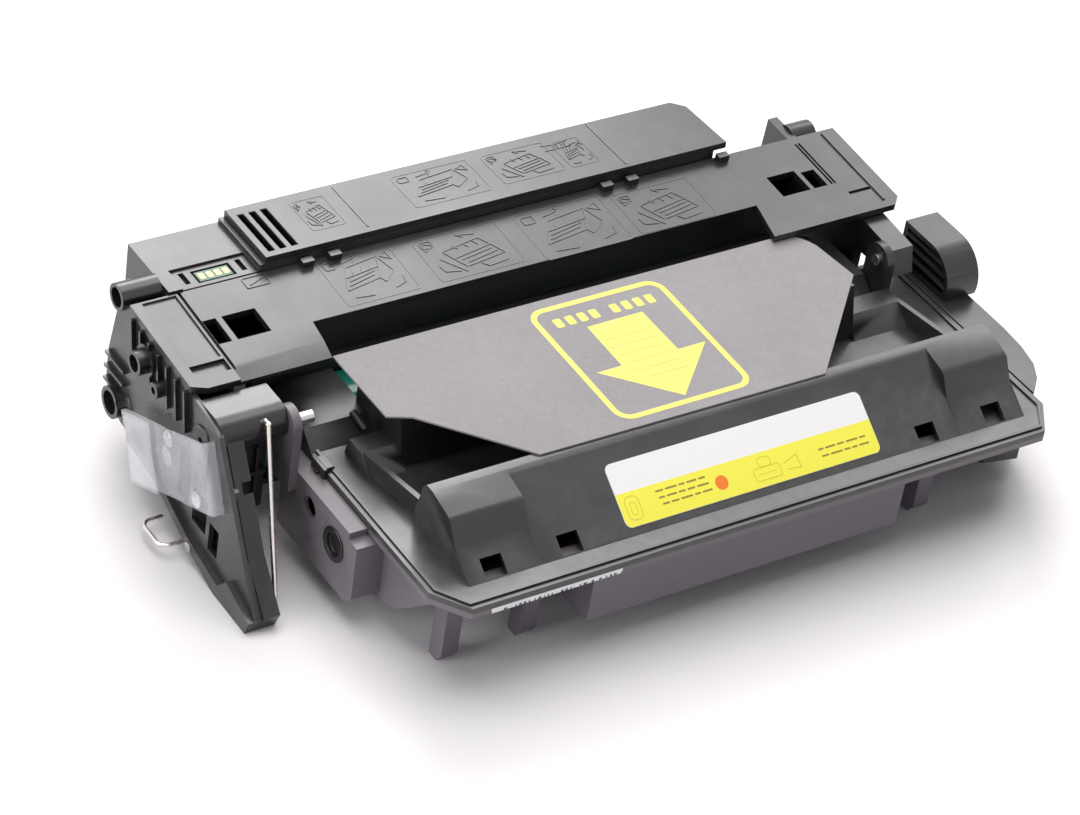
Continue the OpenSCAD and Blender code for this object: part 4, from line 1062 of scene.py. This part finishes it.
filmTail = {
    "run": 64.0,
    "half": 14.0,
    "drop": 24.0,
    "leg": 5.0,
    "flap": 24.0,
    "bend": 1.6,
    "thickness": 0.22,
    "rows": 14,
    "wave": 0.33,
    "crease": 0.7,
}


def bendPoints(middle, radius, start, end, steps=6):
    return [
        (middle[0] + radius * cos(radians(start + (end - start) * k / steps)),
         middle[1] + radius * sin(radians(start + (end - start) * k / steps)))
        for k in range(steps + 1)
    ]


def addFilm():
    # The path of the film seen along its width, drawn once and pulled across
    run, bend = filmTail["run"], filmTail["bend"]
    path = [(filmTail["leg"], 0.25)]
    path += bendPoints((0.25 + bend, 0.25 + bend), bend, 270, 180)
    path += [(0.25, 0.25 + bend + (run - 2 * bend) * k / 12) for k in range(1, 12)]
    path += bendPoints((-0.75, run - 1.25), 1.0, 0, 180)
    path += [(-1.75, run - 1.25 - (filmTail["flap"] - 1.25) * k / 5) for k in range(1, 6)]
    bm = bmesh.new()
    row = [bm.verts.new((x, y, -filmTail["half"])) for x, y in path]
    edges = [bm.edges.new(pair) for pair in zip(row, row[1:])]
    step = 2 * filmTail["half"] / filmTail["rows"]
    for _ in range(filmTail["rows"]):
        made = bmesh.ops.extrude_edge_only(bm, edges=edges)["geom"]
        moved = [item for item in made if isinstance(item, bmesh.types.BMVert)]
        bmesh.ops.translate(bm, vec=(0, 0, step), verts=moved)
        edges = [
            item for item in made
            if isinstance(item, bmesh.types.BMEdge)
            and abs(item.verts[0].co.z - item.verts[1].co.z) < step / 2
        ]
    # A slow wave and one soft crease across the tail
    for vert in bm.verts:
        x, y, z = vert.co
        free = min(1.0, max(0.0, y / 14.0))
        crease = max(0.0, 1.0 - abs(y - 26.0 - 0.15 * z) / 3.0)
        wave = filmTail["wave"] * sin(y / 8.5 + z / 9.0)
        vert.co.x = x + free * (wave - filmTail["crease"] * crease)
    bmesh.ops.recalc_face_normals(bm, faces=bm.faces[:])
    turn = surface(-45.5, 95, 7, -filmTail["drop"])
    bmesh.ops.transform(bm, matrix=turn, verts=bm.verts)
    piece = addPiece("film_tail", bm, "clearFilm", "drum_unit", ["pull_film"])
    for polygon in piece.data.polygons:
        polygon.use_smooth = True
    wall = piece.modifiers.new("thickness", "SOLIDIFY")
    wall.thickness = filmTail["thickness"] * mm
    wall.offset = 0.0


addFilm()

print("stage: finish")
